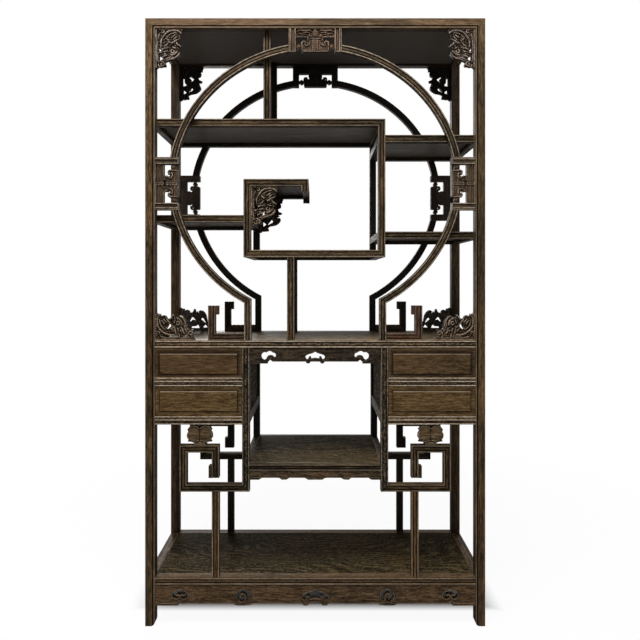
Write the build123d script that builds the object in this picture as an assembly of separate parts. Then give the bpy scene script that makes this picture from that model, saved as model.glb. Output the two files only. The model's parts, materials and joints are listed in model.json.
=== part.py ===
from build123d import *
import os

# Chinese openwork display cabinet in dark hardwood. A moon-gate arch stands on the deck of a
# lower carcase with four drawers, a kneehole and a stepped shelf. The back is a mirror copy of
# the front, so the cabinet can stand free in a room.
# Millimetres. X runs to the right, Y to the rear, Z up. The origin is on the floor, under the
# middle of the cabinet. Heights are measured from the floor.

# ---- overall ----
width = 1060.0                  # over the corner posts
depth = 340.0
base_top = 150.0                # top face of the base frame
deck_top = 890.0                # top face of the deck frame

# ---- framing timber ----
post_side = 30.0                # square corner posts
foot_radius = 13.0              # rounded inner corner under each post
frame_rail_depth = 30.0         # long rails of the top and base frames
deck_rail_margin = 3.0          # deck's long rail beyond the shelf posts that stand on it
top_rail_height = 30.0
deck_rail_height = 22.0
base_rail_height = 21.0
bead_width = 4.4                # round bead along the edge of every show face
bead_rise = 1.2                 # how far a bead stands above the sunk flat beside it
groove_width = 1.6              # quirk beside the bead of a corner post or top rail

# ---- panels ----
top_panel_thickness = 20.0
panel_thickness = 12.0          # deck, base and kneehole shelf
shelf_panel_thickness = 10.0    # upper shelves
panel_drop = 0.5                # a panel's face lies this far below its frame
panel_recess = 7.0              # top panel's underside above the rails' lower edge
batten_width = 23.0

# ---- kneehole shelf ----
kneehole_shelf_rise = 86.0      # its top face above the lower end of the kneehole posts
kneehole_shelf_height = 20.0

# ---- drawer units ----
drawer_opening_width = 272.0
drawer_opening_height = 93.0
middle_rail_height = 27.5
bottom_rail_height = 26.5
inner_post_width = 23.0
inner_post_depth = 25.0
side_panel_thickness = 8.0
side_panel_inset = 8.0          # outer panel's show face, behind the corner posts' side face
runner_reach = 16.0             # how far a runner carries a drawer side
runner_guide_height = 15.0
dust_board_thickness = 8.0

# ---- drawers ----
drawer_gap = 1.0                # round the front
drawer_lift = 0.3               # running gap over rail and runner
drawer_side_gap = 2.0           # between the drawer box and its opening
drawer_front_thickness = 18.0
drawer_front_inset = 0.5        # behind the posts' front face
drawer_border = 14.0            # flat border round the raised field
drawer_bevel = 7.0
drawer_sink = 2.5               # depth of the sunk line round the field
drawer_board = 11.0             # sides and back
drawer_bottom_thickness = 6.0
drawer_bottom_lift = 8.0        # bottom board above the sides' lower edge
drawer_tongue = 5.0             # bottom board's edge in its groove
drawer_back_gap = 12.0          # behind the drawer box
drawer_back_drop = 12.0         # back board's top below the sides

# ---- kneehole and lower frets ----
stick = 23.0                    # face width of fret bars and upper shelf framing
fret_depth = 22.0
fret_setback = 2.0
fret_post_gap = 76.0            # clear gap from the corner post to the fret
fret_width = 124.0
fret_height = 145.0
fret_drop_rise = 43.0           # free end of the fret above its lowest bar's underside
hook_width = 10.0               # turned-out lip at the end of a fret
lower_hook_height = 37.0
medallion_width = 82.0
medallion_height = 65.0         # from the fret to the drawer unit over it
medallion_thickness = 16.0

# ---- aprons ----
apron_thickness = 15.0
apron_setback = 2.0
base_apron_drop = 61.0
deck_apron_drop = 44.0
shelf_apron_drop = 23.0
apron_lobe_drop = 6.0           # scalloped lobes below an apron's straight edge
apron_lobe_root = 15.0          # half width of a lobe where it leaves the straight edge
apron_lobe_flat = 6.0           # half width of its underside
base_corner_block = 73.0        # deeper end of the base apron, from the post to the notch
deck_corner_block = 56.0
shelf_corner_block = 33.0
cloud_inset = 78.0              # middle of a cloud-shaped hole from the post
cloud_length = 44.0
cloud_height = 23.0
cloud_lift = 18.0               # above the base apron's straight edge
deck_cloud_lift = 9.0
cloud_lip_width = 11.5          # foot of the pointed lip that rises into the hole
cloud_lip_height = 13.0
cloud_lip_lean = 3.0
apron_notch_width = 11.5        # small notch under each cloud-shaped hole
hook_hole_place = 225.0         # middle of the round hole with a hook, from the middle
hook_hole_radius = 18.5
hook_radius = 7.4
ruyi_width = 75.0               # pierced cloud head in the middle of the base apron
ruyi_lobe_radius = 9.4
ruyi_lift = 12.0
deck_ruyi_width = 56.0
deck_ruyi_lobe_radius = 7.0
deck_ruyi_lift = 6.0
shelf_side_lobe = 97.0          # middle of the shelf apron's side lobes, from the middle
shelf_middle_lobe = 18.0        # the same for the two lobes that meet in the middle
small_round_sides = 8           # small carved rounds are cut as octagons

# ---- arch ----
ring_width = 22.0
ring_depth = 20.0
ring_setback = 1.0
ring_gap = 39.0                 # from the corner post to the ring at its widest
arch_rise = 490.5               # arch's middle, and the side cartouches', above the deck
lower_centre_rise = 29.5        # centre of the two lower arcs above that
leg_spacing = 400.0             # clear width between the legs
leg_height = 117.0              # from the deck to where an arc's outer edge meets its leg
cartouche_length = 166.0
cartouche_depth = 74.0
cartouche_plate = 26.5          # solid strip along the mounting edge
cartouche_tablet_rise = 24.5    # crosspiece of the tablet, from the free edge
cartouche_tablet_width = 82.0
cartouche_stem_width = 48.0
cartouche_ball_radius = 8.0     # ball between an end bar and the tablet
cartouche_curl_reach = 16.0     # inner edge of the curl under the tablet, from its end
foot_fret_gap = 41.5            # from the foot fret to the carving beside it
foot_fret_drop = 8.0            # foot fret's top below the leg's joint
foot_hook_height = 28.0

# ---- upper shelves, each height at its top face ----
stick_depth = 24.0
side_rail_inset = 8.0           # shelf side rail behind the corner posts' outer face
box_rise = 261.0                # underside of the box above the deck
lower_right_shelf_rise = 81.0   # above the underside of the box
lower_left_shelf_rise = 133.0
short_shelf_rise = 247.0
short_shelf_bay = 190.0         # from the short shelf up to the upper left shelf
upper_right_shelf_drop = 51.0   # below the upper left shelf
top_bay_height = 277.0          # from the upper left shelf up to the top rail
box_left = -226.5               # outer left face of the box
box_right = 221.5               # outer right face of the box
short_shelf_end = -21.0
short_shelf_turn_down = 38.0    # turned-down end, measured from the shelf's top
divider_left = -163.5
centre_post_left = -89.0

# ---- carved brackets ----
bracket_long = 124.0
bracket_short = 86.0
bracket_thickness = 16.0
bracket_setback = 3.0

# ---- derived places ----
box_bottom = deck_top + box_rise
lower_right_shelf_top = box_bottom + lower_right_shelf_rise
lower_left_shelf_top = box_bottom + lower_left_shelf_rise
short_shelf_top = box_bottom + short_shelf_rise
upper_left_shelf_top = short_shelf_top + short_shelf_bay
upper_right_shelf_top = upper_left_shelf_top - upper_right_shelf_drop
top_underside = upper_left_shelf_top + top_bay_height
height = top_underside + top_rail_height
half_width = width / 2
half_bay = half_width - post_side           # inner face of the corner posts
front = -depth / 2
inner_rail_face = front + frame_rail_depth
deck_underside = deck_top - deck_rail_height
base_underside = base_top - base_rail_height
kneehole_half = half_bay - drawer_opening_width - inner_post_width
unit_inner = kneehole_half + inner_post_width
upper_opening_bottom = deck_underside - drawer_opening_height
lower_opening_top = upper_opening_bottom - middle_rail_height
lower_opening_bottom = lower_opening_top - drawer_opening_height
unit_bottom = lower_opening_bottom - bottom_rail_height
fret_top = unit_bottom - medallion_height
fret_bottom = fret_top - fret_height
fret_drop_bottom = fret_bottom + fret_drop_rise
kneehole_shelf_top = fret_bottom + kneehole_shelf_rise
arch_centre_height = deck_top + arch_rise
lower_centre_height = arch_centre_height + lower_centre_rise
inner_post_face = front + inner_post_depth
shelf_front = front + ring_setback + ring_depth
shelf_inner_face = shelf_front + stick_depth
deck_rail_depth = shelf_inner_face - front + deck_rail_margin
side_rail_width = post_side - side_rail_inset
leg_inner = leg_spacing / 2
leg_outer = leg_inner + ring_width
leg_joint_height = deck_top + leg_height
foot_fret_end = half_bay - bracket_long - foot_fret_gap
fret_outer = half_bay - fret_post_gap
fret_inner = fret_outer - fret_width

nodes = {}


def add(name, *solids):
    """Files solids under a node's name."""
    nodes.setdefault(name, []).extend(solids)


def both_sides(solids):
    """The solids and their mirror copies left to right."""
    return list(solids) + [solid.mirror(Plane.YZ) for solid in solids]


def front_and_rear(solids):
    """The solids and their mirror copies front to rear."""
    return list(solids) + [solid.mirror(Plane.XZ) for solid in solids]


def board(low_x, high_x, low_y, high_y, low_z, high_z):
    """A plain rectangular board between two corners."""
    size = (high_x - low_x, high_y - low_y, high_z - low_z)
    return Pos(low_x, low_y, low_z) * Box(*size, align=(Align.MIN, Align.MIN, Align.MIN))


def rectangle(low_u, high_u, low_v, high_v):
    """A flat rectangle between two corners."""
    corner = Rectangle(high_u - low_u, high_v - low_v, align=(Align.MIN, Align.MIN))
    return Pos(low_u, low_v) * corner


def sawn(sketch, front_face, thickness):
    """A board sawn to an outline drawn in X and Z, its front face at Y = front_face."""
    rear_plane = Plane(origin=(0, front_face + thickness, 0), x_dir=(1, 0, 0), z_dir=(0, -1, 0))
    return extrude(rear_plane * sketch, thickness, dir=(0, -1, 0))


def beaded_section(face_width, thickness, rounded=False):
    """A bar's section, its show face along v = 0: a bead at each edge and a sunk flat between."""
    shoulder = bead_rise if rounded else 0
    first_bead = [(0, bead_rise), (shoulder, 0), (bead_width - shoulder, 0), (bead_width, bead_rise)]
    second_bead = [(face_width - u, v) for u, v in reversed(first_bead)]
    edge = first_bead + second_bead + [(face_width, thickness), (0, thickness)]
    return Polygon(*edge, align=None)


def quirked_section(face_width, thickness):
    """A bar's section with one rounded bead at its far edge, set off by a narrow groove."""
    groove_start = face_width - bead_width - groove_width
    body = rectangle(0, face_width, 0, thickness)
    body -= rectangle(groove_start, groove_start + groove_width, 0, groove_width)
    corner = body.vertices().sort_by_distance(Vector(face_width, 0))[0]
    return chamfer(corner, bead_rise)


def level_bar(left, right, top, face_front, section):
    """A bar along X that shows its moulded face to the front. The section starts at its top."""
    plane = Plane(origin=(left, face_front, top), x_dir=(0, 0, -1), z_dir=(1, 0, 0))
    return extrude(plane * section, right - left)


def upright_bar(left, bottom, top, face_front, section):
    """A bar along Z that shows its moulded face to the front. The section starts at its left."""
    plane = Plane(origin=(left, face_front, bottom), x_dir=(1, 0, 0), z_dir=(0, 0, 1))
    return extrude(plane * section, top - bottom)


def side_bar(outer_face, front_end, rear_end, top, section):
    """A bar along Y that shows its moulded face to the right."""
    plane = Plane(origin=(outer_face, front_end, top), x_dir=(0, 0, -1), z_dir=(0, 1, 0))
    return extrude(plane * section, rear_end - front_end)


def mitred(bar, outer, inner):
    """Cuts a bar's end on the line between a corner's outer and inner points, in X and Z."""
    line = Vector(inner[0] - outer[0], 0, inner[1] - outer[1]).normalized()
    cut = Plane(origin=(outer[0], 0, outer[1]), z_dir=line.cross(Vector(0, 1, 0)))
    pieces = split(bar, bisect_by=cut, keep=Keep.BOTH).solids()
    return max(pieces, key=lambda piece: piece.volume)


def fret_bars(route, face_width, thickness, face_front):
    """Bars along a right-angled centre line, mitred into each other at its corners."""
    half = face_width / 2
    section = beaded_section(face_width, thickness)
    bars = []
    for index, (start, end) in enumerate(zip(route, route[1:])):
        turns_before = half if index > 0 else 0
        turns_after = half if index < len(route) - 2 else 0
        along_x = abs(end[0] - start[0]) > abs(end[1] - start[1])
        axis = 0 if along_x else 1
        forward = end[axis] > start[axis]
        low = start[axis] - turns_before if forward else end[axis] - turns_after
        high = end[axis] + turns_after if forward else start[axis] + turns_before
        if along_x:
            bars.append(level_bar(low, high, start[1] + half, face_front, section))
        else:
            bars.append(upright_bar(start[0] - half, low, high, face_front, section))
    for index, corner in enumerate(route[1:-1]):
        before, after = route[index], route[index + 2]
        came = (sign(corner[0] - before[0]), sign(corner[1] - before[1]))
        goes = (sign(after[0] - corner[0]), sign(after[1] - corner[1]))
        outer = (corner[0] + (came[0] - goes[0]) * half, corner[1] + (came[1] - goes[1]) * half)
        inner = (corner[0] - (came[0] - goes[0]) * half, corner[1] - (came[1] - goes[1]) * half)
        bars[index] = mitred(bars[index], outer, inner)
        bars[index + 1] = mitred(bars[index + 1], outer, inner)
    return bars


def sign(value):
    """-1, 0 or 1."""
    return (value > 0) - (value < 0)


# ---- corner posts and top frame ----
def make_main_frame():
    post_section = quirked_section(post_side, post_side)
    side_quirk = post_side - bead_width - groove_width
    post_section -= rectangle(0, groove_width, side_quirk, side_quirk + groove_width)
    post = upright_bar(-half_width, 0, height, front, post_section)
    foot_corner = Pos(-half_bay - foot_radius, foot_radius) * Circle(foot_radius)
    foot_waste = rectangle(-half_bay - foot_radius, -half_bay, 0, foot_radius) - foot_corner
    post -= sawn(foot_waste, front, post_side)
    post = mitred(post, (-half_width, height), (-half_bay, top_underside))
    add("post_front_left", post)
    add("post_front_right", post.mirror(Plane.YZ))
    add("post_rear_left", post.mirror(Plane.XZ))
    add("post_rear_right", post.mirror(Plane.YZ).mirror(Plane.XZ))

    top_section = quirked_section(top_rail_height, frame_rail_depth)
    rail = level_bar(-half_width, half_width, height, front, top_section)
    for side in (-1, 1):
        rail = mitred(rail, (side * half_width, height), (side * half_bay, top_underside))
    add("top_rails_long", *front_and_rear([rail]))
    side_section = quirked_section(top_rail_height, post_side)
    side_rail = side_bar(half_width, inner_rail_face, -inner_rail_face, height, side_section)
    add("top_rails_side", *both_sides([side_rail]))
    panel_bottom = top_underside + panel_recess
    add("top_panel", board(-half_bay, half_bay, inner_rail_face, -inner_rail_face,
                           panel_bottom, panel_bottom + top_panel_thickness))


# ---- deck, base and kneehole shelf: framed panels ----
def framed_panel(name, half_length, top, rail_height, rail_depth, side_width, batten_places):
    section = beaded_section(rail_height, rail_depth, rounded=True)
    inner_face = front + rail_depth
    rail = level_bar(-half_length, half_length, top, front, section)
    add(name + "_rails_long", *front_and_rear([rail]))
    side_section = beaded_section(rail_height, side_width)
    side_rail = side_bar(half_length + side_width, inner_face, -inner_face, top, side_section)
    add(name + "_rails_side", *both_sides([side_rail]))
    panel_top = top - panel_drop
    panel_bottom = panel_top - panel_thickness
    add(name + "_panel", board(-half_length, half_length, inner_face, -inner_face,
                               panel_bottom, panel_top))
    for place in batten_places:
        add("panel_battens", board(place - batten_width / 2, place + batten_width / 2,
                                   inner_face, -inner_face, top - rail_height, panel_bottom))


# ---- drawer units ----
def make_drawer_units():
    section = beaded_section(middle_rail_height, frame_rail_depth, rounded=True)
    middle = level_bar(unit_inner, half_bay, upper_opening_bottom, front, section)
    section = beaded_section(bottom_rail_height, frame_rail_depth, rounded=True)
    bottom = level_bar(unit_inner, half_bay, lower_opening_bottom, front, section)
    add("drawer_rails_long", *both_sides(front_and_rear([middle, bottom])))

    outer_section = beaded_section(bottom_rail_height, post_side)
    outer = side_bar(half_width, inner_rail_face, -inner_rail_face, lower_opening_bottom,
                     outer_section)
    inner_section = beaded_section(bottom_rail_height, inner_post_width)
    inner = side_bar(-kneehole_half, inner_post_face, -inner_post_face, lower_opening_bottom,
                     inner_section)
    add("drawer_rails_side", *both_sides([outer, inner]))

    outer_face = half_width - side_panel_inset
    inner_face = kneehole_half + (inner_post_width - side_panel_thickness) / 2
    outer_panel = board(outer_face - side_panel_thickness, outer_face, inner_rail_face,
                        -inner_rail_face, lower_opening_bottom, deck_underside)
    inner_panel = board(inner_face, inner_face + side_panel_thickness, inner_post_face,
                        -inner_post_face, lower_opening_bottom, deck_underside)
    add("drawer_unit_side_panels", *both_sides([outer_panel, inner_panel]))

    back_face = -inner_rail_face
    for low, high in ((lower_opening_bottom, lower_opening_top),
                      (upper_opening_bottom, deck_underside)):
        back = board(unit_inner, half_bay, back_face, back_face + panel_thickness, low, high)
        add("drawer_unit_back_panels", *both_sides([back]))
    dust_top = lower_opening_bottom - panel_thickness
    dust = board(unit_inner, half_bay, inner_rail_face, -inner_rail_face,
                 dust_top - dust_board_thickness, dust_top)
    add("drawer_unit_dust_boards", *both_sides([dust]))

    inner_wall = inner_face + side_panel_thickness
    outer_wall = outer_face - side_panel_thickness
    for wall, opening_side, inward in ((inner_wall, unit_inner, 1), (outer_wall, half_bay, -1)):
        shoulder = opening_side + inward * runner_reach
        for top, thickness, seat in ((upper_opening_bottom, middle_rail_height, wall),
                                     (lower_opening_bottom, panel_thickness, opening_side)):
            low_x, high_x = min(seat, shoulder), max(seat, shoulder)
            runner = board(low_x, high_x, inner_rail_face, -inner_rail_face,
                           top - thickness, top)
            low_x, high_x = min(wall, opening_side), max(wall, opening_side)
            runner += board(low_x, high_x, inner_rail_face, -inner_rail_face,
                            top, top + runner_guide_height)
            add("drawer_runners", *both_sides([runner]))


# ---- drawers ----
def make_drawer(prefix, side, opening_bottom):
    left = unit_inner if side > 0 else -half_bay
    right = left + drawer_opening_width
    bottom = opening_bottom + drawer_lift
    top = opening_bottom + drawer_opening_height - drawer_gap
    face = front + drawer_front_inset
    back_of_front = face + drawer_front_thickness
    left_edge, right_edge = left + drawer_gap, right - drawer_gap

    slab = board(left_edge, right_edge, face, back_of_front, bottom, top)
    field_width = right_edge - left_edge - 2 * drawer_border
    field_height = top - bottom - 2 * drawer_border
    middle_x, middle_z = (left_edge + right_edge) / 2, (bottom + top) / 2
    sunk = Pos(middle_x, middle_z) * Rectangle(field_width, field_height)
    slab -= sawn(sunk, face, drawer_sink)
    field_plane = Plane(origin=(middle_x, face + drawer_sink, middle_z),
                        x_dir=(1, 0, 0), z_dir=(0, -1, 0))
    foot = field_plane * Rectangle(field_width - bead_rise, field_height - bead_rise)
    crown = field_plane.offset(drawer_sink) * Rectangle(field_width - 2 * drawer_bevel,
                                                        field_height - 2 * drawer_bevel)
    slab += loft([foot.face(), crown.face()])

    box_left_face, box_right_face = left + drawer_side_gap, right - drawer_side_gap
    box_rear = -inner_rail_face - drawer_back_gap
    box_top = top - drawer_gap
    groove_low = bottom + drawer_bottom_lift
    groove_high = groove_low + drawer_bottom_thickness
    inside_left, inside_right = box_left_face + drawer_board, box_right_face - drawer_board
    floor = board(inside_left - drawer_tongue, inside_right + drawer_tongue,
                  back_of_front - drawer_tongue, box_rear, groove_low, groove_high)
    slab -= floor
    sides = board(box_left_face, inside_left, back_of_front, box_rear, bottom, box_top)
    sides_right = board(inside_right, box_right_face, back_of_front, box_rear, bottom, box_top)
    back = board(inside_left, inside_right, box_rear - drawer_board, box_rear,
                 groove_high, box_top - drawer_back_drop)
    add(prefix + "_front", slab)
    add(prefix + "_box", sides - floor, sides_right - floor, back, floor)


# ---- kneehole posts, lower frets and their legs ----
def make_lower_frets():
    half = stick / 2
    corner_z = fret_bottom + half
    section = beaded_section(inner_post_width, inner_post_depth, rounded=True)
    post = upright_bar(kneehole_half, fret_bottom, deck_underside, front, section)
    corner = (kneehole_half, fret_bottom), (unit_inner, fret_bottom + stick)
    post = mitred(post, *corner)
    add("kneehole_posts", *both_sides(front_and_rear([post])))

    drop_x, upright_x = fret_inner + half, fret_outer - half
    route = [(drop_x, fret_drop_bottom), (drop_x, fret_top - half), (upright_x, fret_top - half),
             (upright_x, corner_z), (kneehole_half, corner_z)]
    face_front = front + fret_setback
    bars = fret_bars(route, stick, fret_depth, face_front)
    bars[-1] = mitred(bars[-1], *corner)
    lip_outline = rectangle(fret_inner + stick, fret_inner + stick + hook_width,
                            fret_drop_bottom, fret_drop_bottom + lower_hook_height)
    bars.append(sawn(lip_outline, face_front, fret_depth))
    leg = upright_bar(fret_inner, base_top, fret_bottom, face_front,
                      beaded_section(stick, fret_depth))
    add("lower_frets", *both_sides(front_and_rear(bars)))
    add("fret_legs", *both_sides(front_and_rear([leg])))


def mirrored_outline(half_points, across, along):
    """A symmetric outline from the points of its right half, in hundredths of two lengths."""
    right = [(u * across / 100, v * along / 100) for u, v in half_points]
    left = [(-u, v) for u, v in reversed(right)]
    return Polygon(*right, *left, align=None)


def make_medallions():
    """A leafy carved medallion between each fret and the drawer unit over it."""
    leaf_edge = [(43, 0), (43, 9), (60, 13), (95, 14), (84, 24), (100, 36), (97, 52), (86, 64),
                 (94, 74), (74, 90), (74, 100)]
    outline = mirrored_outline(leaf_edge, medallion_width / 2, unit_bottom - fret_top)
    outline = Pos((fret_inner + fret_outer) / 2, fret_top) * outline
    medallion = sawn(outline, front + fret_setback + bracket_setback, medallion_thickness)
    add("fret_medallions", *both_sides(front_and_rear([medallion])))


# ---- aprons ----
def lobed_edge(half_length, bottom, block_width, lobe_places):
    """What an apron has below its straight edge: a deeper block at each end, and lobes."""
    low = bottom - apron_lobe_drop
    shape = rectangle(half_length - block_width, half_length, low, bottom)
    for place in lobe_places:
        shape += Polygon((place - apron_lobe_root, bottom), (place - apron_lobe_flat, low),
                         (place + apron_lobe_flat, low), (place + apron_lobe_root, bottom),
                         align=None)
    return shape + shape.mirror(Plane.YZ)


def cloud_hole(centre, bottom):
    """A cloud-shaped hole with a pointed lip rising into it."""
    shape = mirrored_outline([(30, -20), (62, -50), (100, -28), (100, 14), (66, 46), (14, 50)],
                             cloud_length / 2, cloud_height)
    foot = -cloud_height / 2
    lip = Polygon((-cloud_lip_width / 2, foot), (cloud_lip_width / 2, foot),
                  (-cloud_lip_lean, foot + cloud_lip_height), align=None)
    return Pos(centre, bottom + cloud_height / 2) * (shape - lip)


def ruyi_hole(width, lobe_radius, bottom):
    """The pierced cloud head in an apron's middle, with a curl rising at each side of it."""
    half = width / 2
    shape = mirrored_outline([(75, 0), (50, 40), (0, 62)], half, half)
    curl_corners = [(62, 0), (52, 28), (38, 25), (32, 0)]
    curl = Polygon(*[(u * half / 100, v * half / 100) for u, v in curl_corners], align=None)
    for side in (-1, 1):
        lobe = Pos(side * (half - lobe_radius), lobe_radius)
        shape += lobe * RegularPolygon(lobe_radius, small_round_sides)
    return Pos(0, bottom) * (shape - curl - curl.mirror(Plane.YZ))


def make_aprons():
    face = front + apron_setback
    bottom = base_underside - base_apron_drop
    outline = rectangle(-half_bay, half_bay, bottom, base_underside)
    outline += lobed_edge(half_bay, bottom, base_corner_block,
                          (hook_hole_place, ruyi_width / 2 - ruyi_lobe_radius))
    outline -= ruyi_hole(ruyi_width, ruyi_lobe_radius, bottom + ruyi_lift)
    notch_half = apron_notch_width / 2
    hole_height = bottom + apron_lobe_drop + hook_hole_radius
    for side in (-1, 1):
        cloud = side * (half_bay - cloud_inset)
        outline -= cloud_hole(cloud, bottom + cloud_lift)
        outline -= Pos(cloud, bottom) * Polygon((-notch_half, 0), (notch_half, 0),
                                                (0, apron_lobe_drop), align=None)
        hook = side * hook_hole_place
        outline -= Pos(hook, hole_height) * Circle(hook_hole_radius)
        outline += Pos(hook, hole_height - hook_radius / 2) * RegularPolygon(hook_radius,
                                                                             small_round_sides)
        outline += rectangle(hook - hook_radius, hook, bottom, hole_height - hook_radius / 2)
    add("base_aprons", *front_and_rear([sawn(outline, face, apron_thickness)]))
    side_apron = board(half_width - apron_setback - apron_thickness, half_width - apron_setback,
                       inner_rail_face, -inner_rail_face, bottom, base_underside)
    add("base_aprons", *both_sides([side_apron]))

    bottom = deck_underside - deck_apron_drop
    outline = rectangle(-kneehole_half, kneehole_half, bottom, deck_underside)
    outline += lobed_edge(kneehole_half, bottom, deck_corner_block,
                          (deck_ruyi_width / 2 - deck_ruyi_lobe_radius,))
    outline -= ruyi_hole(deck_ruyi_width, deck_ruyi_lobe_radius, bottom + deck_ruyi_lift)
    for side in (-1, 1):
        cloud = side * (kneehole_half - deck_corner_block)
        outline -= cloud_hole(cloud, bottom + deck_cloud_lift)
    add("deck_aprons", *front_and_rear([sawn(outline, face, apron_thickness)]))

    underside = kneehole_shelf_top - kneehole_shelf_height
    bottom = underside - shelf_apron_drop
    outline = rectangle(-kneehole_half, kneehole_half, bottom, underside)
    outline += lobed_edge(kneehole_half, bottom, shelf_corner_block,
                          (shelf_side_lobe, shelf_middle_lobe))
    add("kneehole_shelf_aprons", *front_and_rear([sawn(outline, face, apron_thickness)]))


# ---- arch ----
def ellipse_band(half_wide, half_high, inset_outer, inset_inner):
    """The band between two ellipses, inset from an outer ellipse by two distances."""
    outer = Ellipse(half_wide - inset_outer, half_high - inset_outer)
    return outer - Ellipse(half_wide - inset_inner, half_high - inset_inner)


def beaded_board(outline, sunk_flat):
    """A sawn board in the ring's plane with its middle sunk between two beads."""
    face = front + ring_setback
    return sawn(outline, face, ring_depth) - sawn(sunk_flat, face, bead_rise)


def make_arch():
    half_cartouche = cartouche_length / 2
    side_top = arch_centre_height + half_cartouche
    side_bottom = arch_centre_height - half_cartouche
    crown = height - top_rail_height - cartouche_depth
    half_wide = half_bay - ring_gap
    flatness = (1 - (half_cartouche / (half_wide - ring_width)) ** 2) ** 0.5
    half_high = (crown - arch_centre_height) / flatness + ring_width
    clip = rectangle(half_cartouche, half_width, side_top, height)
    band = [Pos(0, arch_centre_height) * ellipse_band(half_wide, half_high, *insets) & clip
            for insets in ((0, ring_width), (bead_width, ring_width - bead_width))]
    upper = beaded_board(*band)
    add("arch_upper_front", *both_sides([upper]))
    add("arch_upper_rear", *both_sides([upper.mirror(Plane.XZ)]))

    joint_drop = lower_centre_height - leg_joint_height
    lower_high = joint_drop / (1 - (leg_outer / half_wide) ** 2) ** 0.5
    inner_wide, inner_high = half_wide - ring_width, lower_high - ring_width
    inner_drop = inner_high * (1 - (leg_inner / inner_wide) ** 2) ** 0.5
    joint_inner = (leg_inner, lower_centre_height - inner_drop)
    joint_outer = (leg_outer, leg_joint_height)
    clip = Polygon(joint_inner, joint_outer, (half_width, leg_joint_height),
                   (half_width, side_bottom), (leg_inner, side_bottom), align=None)
    band = [Pos(0, lower_centre_height) * ellipse_band(half_wide, lower_high, *insets) & clip
            for insets in ((0, ring_width), (bead_width, ring_width - bead_width))]
    arc = beaded_board(*band)
    section = beaded_section(ring_width, ring_depth)
    face = front + ring_setback
    leg = upright_bar(leg_inner, deck_top, joint_inner[1] + ring_width, face, section)
    leg = mitred(leg, joint_outer, joint_inner)
    add("arch_lower_front", *both_sides([arc, leg]))
    add("arch_lower_rear", *both_sides([arc.mirror(Plane.XZ), leg.mirror(Plane.XZ)]))

    half = stick / 2
    upright_x = foot_fret_end - half
    foot_top = leg_joint_height - foot_fret_drop
    route = [(leg_outer, deck_top + half), (upright_x, deck_top + half), (upright_x, foot_top)]
    bars = fret_bars(route, stick, ring_depth, face)
    lip_right = upright_x - half
    lip = rectangle(lip_right - hook_width, lip_right, foot_top - foot_hook_height, foot_top)
    bars.append(sawn(lip, face, ring_depth))
    add("arch_foot_frets", *both_sides(front_and_rear(bars)))


def cartouche_outline():
    """A pierced cartouche, drawn along u about its middle, with v from its mounting edge."""
    half = cartouche_length / 2
    half_tablet = cartouche_tablet_width / 2
    shoulder = cartouche_depth - cartouche_tablet_rise
    ball = cartouche_ball_radius
    outline = rectangle(-half, half, 0, cartouche_plate)
    outline += rectangle(-cartouche_stem_width / 2, cartouche_stem_width / 2, 0, shoulder)
    outline += rectangle(-half_tablet, half_tablet, shoulder, cartouche_depth)
    bridge = (half_tablet + half - stick) / 2
    curl = rectangle(half_tablet - cartouche_curl_reach, half_tablet - ball, shoulder - ball,
                     shoulder)
    side = rectangle(half - stick, half, 0, cartouche_depth) + curl
    side += Pos(bridge, shoulder) * RegularPolygon(ball, small_round_sides)
    side += Pos(bridge, shoulder) * Rectangle(half - stick - half_tablet, ball)
    return outline + side + side.mirror(Plane.YZ)


def make_cartouches():
    """Cartouches where the ring meets the posts and the top rail."""
    outline = cartouche_outline()
    face = front + ring_setback
    top = Pos(0, top_underside) * Rot(0, 0, 180) * outline
    side = Pos(half_bay, arch_centre_height) * Rot(0, 0, 90) * outline
    half = cartouche_length / 2
    bead = rectangle(-half + bead_width, -half + stick - bead_width, 0, cartouche_depth)
    sunk = bead + bead.mirror(Plane.YZ)
    top_board = sawn(top, face, ring_depth)
    top_board -= sawn(Pos(0, top_underside) * Rot(0, 0, 180) * sunk, face, bead_rise)
    side_board = sawn(side, face, ring_depth)
    side_board -= sawn(Pos(half_bay, arch_centre_height) * Rot(0, 0, 90) * sunk, face, bead_rise)
    add("top_cartouches", *front_and_rear([top_board]))
    add("side_cartouches", *both_sides(front_and_rear([side_board])))


# ---- upper shelves ----
def shelf_panel(left, right, top):
    """A shelf's panel, between its long rails."""
    panel_top = top - panel_drop
    return board(left, right, shelf_inner_face, -shelf_inner_face,
                 panel_top - shelf_panel_thickness, panel_top)


def cross_rail(left, top):
    """A rail from front to rear between a pair of posts."""
    return board(left, left + stick, shelf_inner_face, -shelf_inner_face, top - stick, top)


def outer_side_rail(side, top):
    """A rail between the corner posts at a shelf's end."""
    section = beaded_section(stick, side_rail_width)
    rail = side_bar(half_bay + side_rail_width, inner_rail_face, -inner_rail_face, top, section)
    return rail if side > 0 else rail.mirror(Plane.YZ)


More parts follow.
